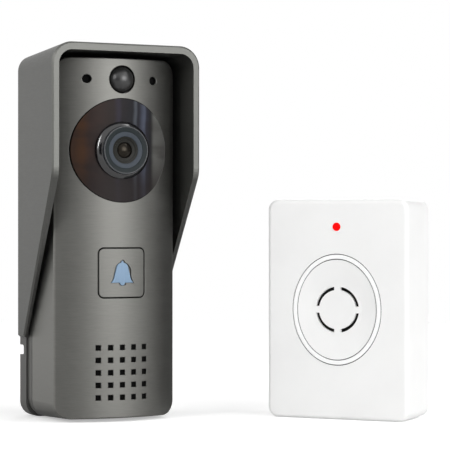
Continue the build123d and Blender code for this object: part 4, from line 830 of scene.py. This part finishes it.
def cross_screw(head, depth, shaft, length):
    """A pan-head screw with a cross recess. Its seat is at z = 0."""
    shape = turned([(0, depth), (head * 0.72, depth), (head, depth * 0.5), (head, 0), (shaft, 0),
                    (shaft, 0.5 - length), (0.4, -length), (0, -length)], [(1, 0.35), (2, 0.15)], 48)
    arm, half = head * 0.62, head * 0.14
    for axis in (Vector((1, 0, 0)), Vector((0, 1, 0))):
        for place in (-arm, -half, half, arm):
            sliced(shape, axis * place, axis)
    cross = []
    for face in shape.faces:
        spot = face.calc_center_median()
        wide, narrow = max(abs(spot.x), abs(spot.y)), min(abs(spot.x), abs(spot.y))
        if spot.z > depth * 0.8 and wide < arm and narrow < half:
            cross.append(face)
    raised(shape, -depth * 0.6, cross, keep=False)
    return shape


ROOF_HEAD, REAR_HEAD, HEAD_DEPTH, REAR_SHAFT = 2.3, 2.0, 1.0, 1.15
hood_low, hood_high = mm_box("hood_screws")
roof_screws = [(cross_screw(ROOF_HEAD, HEAD_DEPTH, 1.25, 6.0),
                facing((side * (hood_high.x - ROOF_HEAD), (hood_low.y + hood_high.y) / 2,
                        hood_high.z - HEAD_DEPTH), UPWARDS)) for side in (-1, 1)]
piece("roof_screws", merged(roof_screws), AS_IT_IS, "root", "steel", "hood_screws")
cover_low, cover_high = mm_box("cover_screws")
rear_screws = [(cross_screw(REAR_HEAD, HEAD_DEPTH, REAR_SHAFT, 8.0),
                facing((x, cover_high.y - HEAD_DEPTH, z), BACK))
               for x in (cover_low.x + REAR_HEAD, cover_high.x - REAR_HEAD)
               for z in (cover_low.z + REAR_HEAD, cover_high.z - REAR_HEAD)]
piece("rear_screws", merged(rear_screws), AS_IT_IS, "door_unit", "steel", "cover_screws")

# %% [markdown]
# The chime stands at an angle to the door station. Its frame comes from its door's joint, which
# points straight back. On its face an oval ring lies over a dark band in its groove, whose dark is
# painted shade, so a fine grey line shows at each side of it.

# %% Chime frame and ring
door_joint = next(joint for joint in frame["record"]["behaviour"]["joints"]
                  if joint["name"] == "chime_door_off")
CHIME_IN = Vector(door_joint["axis"]).normalized()
CHIME_OUT = -CHIME_IN
CHIME_RIGHT = UPWARDS.cross(CHIME_OUT)
FRONT_SHELL_HALF, CHIME_DEPTH, CHIME_SCREW_X = 8.5, 26.0, 24.2
CHIME_FRONT = middle("chime_front_shell") + CHIME_OUT * FRONT_SHELL_HALF
CHIME_REAR = CHIME_FRONT + CHIME_IN * CHIME_DEPTH
ring_place = facing(Vector((CHIME_FRONT.x, CHIME_FRONT.y, middle("chime_ring").z)), CHIME_OUT)
piece("oval_ring", oval_band((18.08, 21.28), (16.42, 19.62), -0.78, 0.5, 0.3), ring_place,
      "chime", "white_gloss", "chime_ring")
# Painted shade: a dark band under the ring, seen as a fine line at each side of it.
piece("ring_groove_shade", oval_band((18.39, 21.59), (16.11, 19.31), -0.8, -0.1, 0), ring_place,
      "chime", "black_rubber", material="groove_shade_grey")

back_low, back_high = mm_box("chime_screws")
chime_screws = []
for side in (-1, 1):
    for z in (back_low.z + REAR_HEAD, back_high.z - REAR_HEAD):
        seat = CHIME_REAR + CHIME_RIGHT * (side * CHIME_SCREW_X) - CHIME_IN * HEAD_DEPTH
        chime_screws.append((cross_screw(REAR_HEAD, HEAD_DEPTH, REAR_SHAFT, 10.0),
                             facing((seat.x, seat.y, z), CHIME_IN)))
piece("shell_screws", merged(chime_screws), AS_IT_IS, "chime", "steel", "chime_screws")

# %% [markdown]
# Behind the chime's battery door lie three small cells, each against a coil spring. They show when
# the door is off. A cell is a printed sleeve between two steel caps, and a spring is a small circle
# that spin carries round and along its axis.

# %% Chime cells and springs
cell_middle = middle("chime_cells")
cell_low, cell_high = mm_box("chime_cells")
CELL_RADIUS = 5.25
WIRE_RADIUS, COIL_RADIUS, COIL_END, COIL_LENGTH = 0.2, 3.0, -20.95, 1.1
COIL_TURNS, COIL_STEPS = 3, 72
row_pitch = (cell_high.z - cell_low.z) / 2 - CELL_RADIUS
sleeves, caps, springs = [], [], []
for row in (-1, 0, 1):
    way = -1 if row else 1
    place = facing(cell_middle + UPWARDS * (row * row_pitch), CHIME_RIGHT * way)
    sleeves.append((turned([(0, -20.4), (4.6, -20.4), (CELL_RADIUS, -20.4), (CELL_RADIUS, 20.5),
                            (4.4, 20.9), (0, 20.9)], [(2, 0.5), (3, 0.5)], 64), place))
    caps.append((turned([(0, -20.75), (4.5, -20.75), (4.5, -20.3), (0, -20.3)], [(1, 0.2)], 48), place))
    caps.append((turned([(0, 20.8), (3.6, 20.8), (3.6, 21.1), (1.9, 21.2), (1.9, 22.2), (0, 22.2)],
                        [(3, 0.1), (4, 0.3)], 48), place))
    coil = bmesh.new()
    wire = bmesh.ops.create_circle(coil, cap_ends=True, segments=8, radius=WIRE_RADIUS)["verts"]
    bmesh.ops.rotate(coil, verts=wire, cent=(0, 0, 0), matrix=Matrix.Rotation(radians(90), 3, "X"))
    bmesh.ops.translate(coil, verts=wire, vec=(COIL_RADIUS, 0, COIL_END))
    bmesh.ops.spin(coil, geom=coil.faces[:], cent=(0, 0, 0), axis=(0, 0, 1),
                   dvec=(0, 0, -COIL_LENGTH / COIL_STEPS), angle=2 * pi * COIL_TURNS,
                   steps=COIL_STEPS, use_merge=False)
    springs.append((coil, place))
piece("cell_sleeves", merged(sleeves), AS_IT_IS, "chime", "cell_wrap", "chime_cells")
piece("cell_caps", merged(caps), AS_IT_IS, "chime", "steel", "chime_cells")
piece("cell_springs", merged(springs), AS_IT_IS, "chime", "plated_brass")

# %% [markdown]
# The door has ribs in its finger recess and a raised arrow that points up at them. The rubber flap
# over the charging socket has a soft edge and a pull tab.

# %% Door ribs and charging flap
door_middle = middle("chime_battery_door")
door_face = Vector((CHIME_REAR.x, CHIME_REAR.y, door_middle.z))
RIB_PITCH, RECESS_UP, ARROW_UP = 1.4, 37.0 / 3, 6.5
ribs = [(rounded_plate(9.0, 0.7, 0.3, -0.6, -0.15, 0.2),
         facing(door_face + UPWARDS * (RECESS_UP + step * RIB_PITCH), CHIME_IN)) for step in (-1, 0, 1)]
arrow = bmesh.new()
bmesh.ops.create_circle(arrow, cap_ends=True, segments=3, radius=2.0)
raised(arrow, 0.2)
ribs.append((arrow, facing(door_face + UPWARDS * ARROW_UP, CHIME_IN)))
piece("door_ribs", merged(ribs), AS_IT_IS, "chime_door", "white_plastic")

flap_low, flap_high = mm_box("charging_flap")
flap_spot = ((flap_low.x + flap_high.x) / 2, flap_low.y, (flap_low.z + flap_high.z) / 2)
flap = [(rounded_plate(13.0, 7.4, 1.6, 0.0, 0.75, 0.25), AS_IT_IS),
        (rounded_plate(5.0, 1.4, 0.6, 0.7, 0.9, 0.1), Matrix.Translation((0, -2.4, 0))),
        (rounded_plate(9.5, 0.5, 0.2, 0.7, 0.9, 0.1), Matrix.Translation((0, 2.3, 0)))]
piece("flap_pad", merged(flap), facing(flap_spot, BACK), "door_unit", "black_rubber", "charging_flap")

# %% Dress every CAD node in its own finish or its slot's
OWN_FINISH = {"grille_mesh": "speaker_cloth", "pir_dome": "dome_satin", "rain_hood": "shaded_hood_gunmetal",
              "rear_cover": "cover_paint"}
for node in frame["nodes"].values():
    for place in node.material_slots:
        own = OWN_FINISH.get(node.name)
        place.material = FINISHES[own or place.material.name.split(".")[0]]
print("dressed nodes:", len(frame["nodes"]))
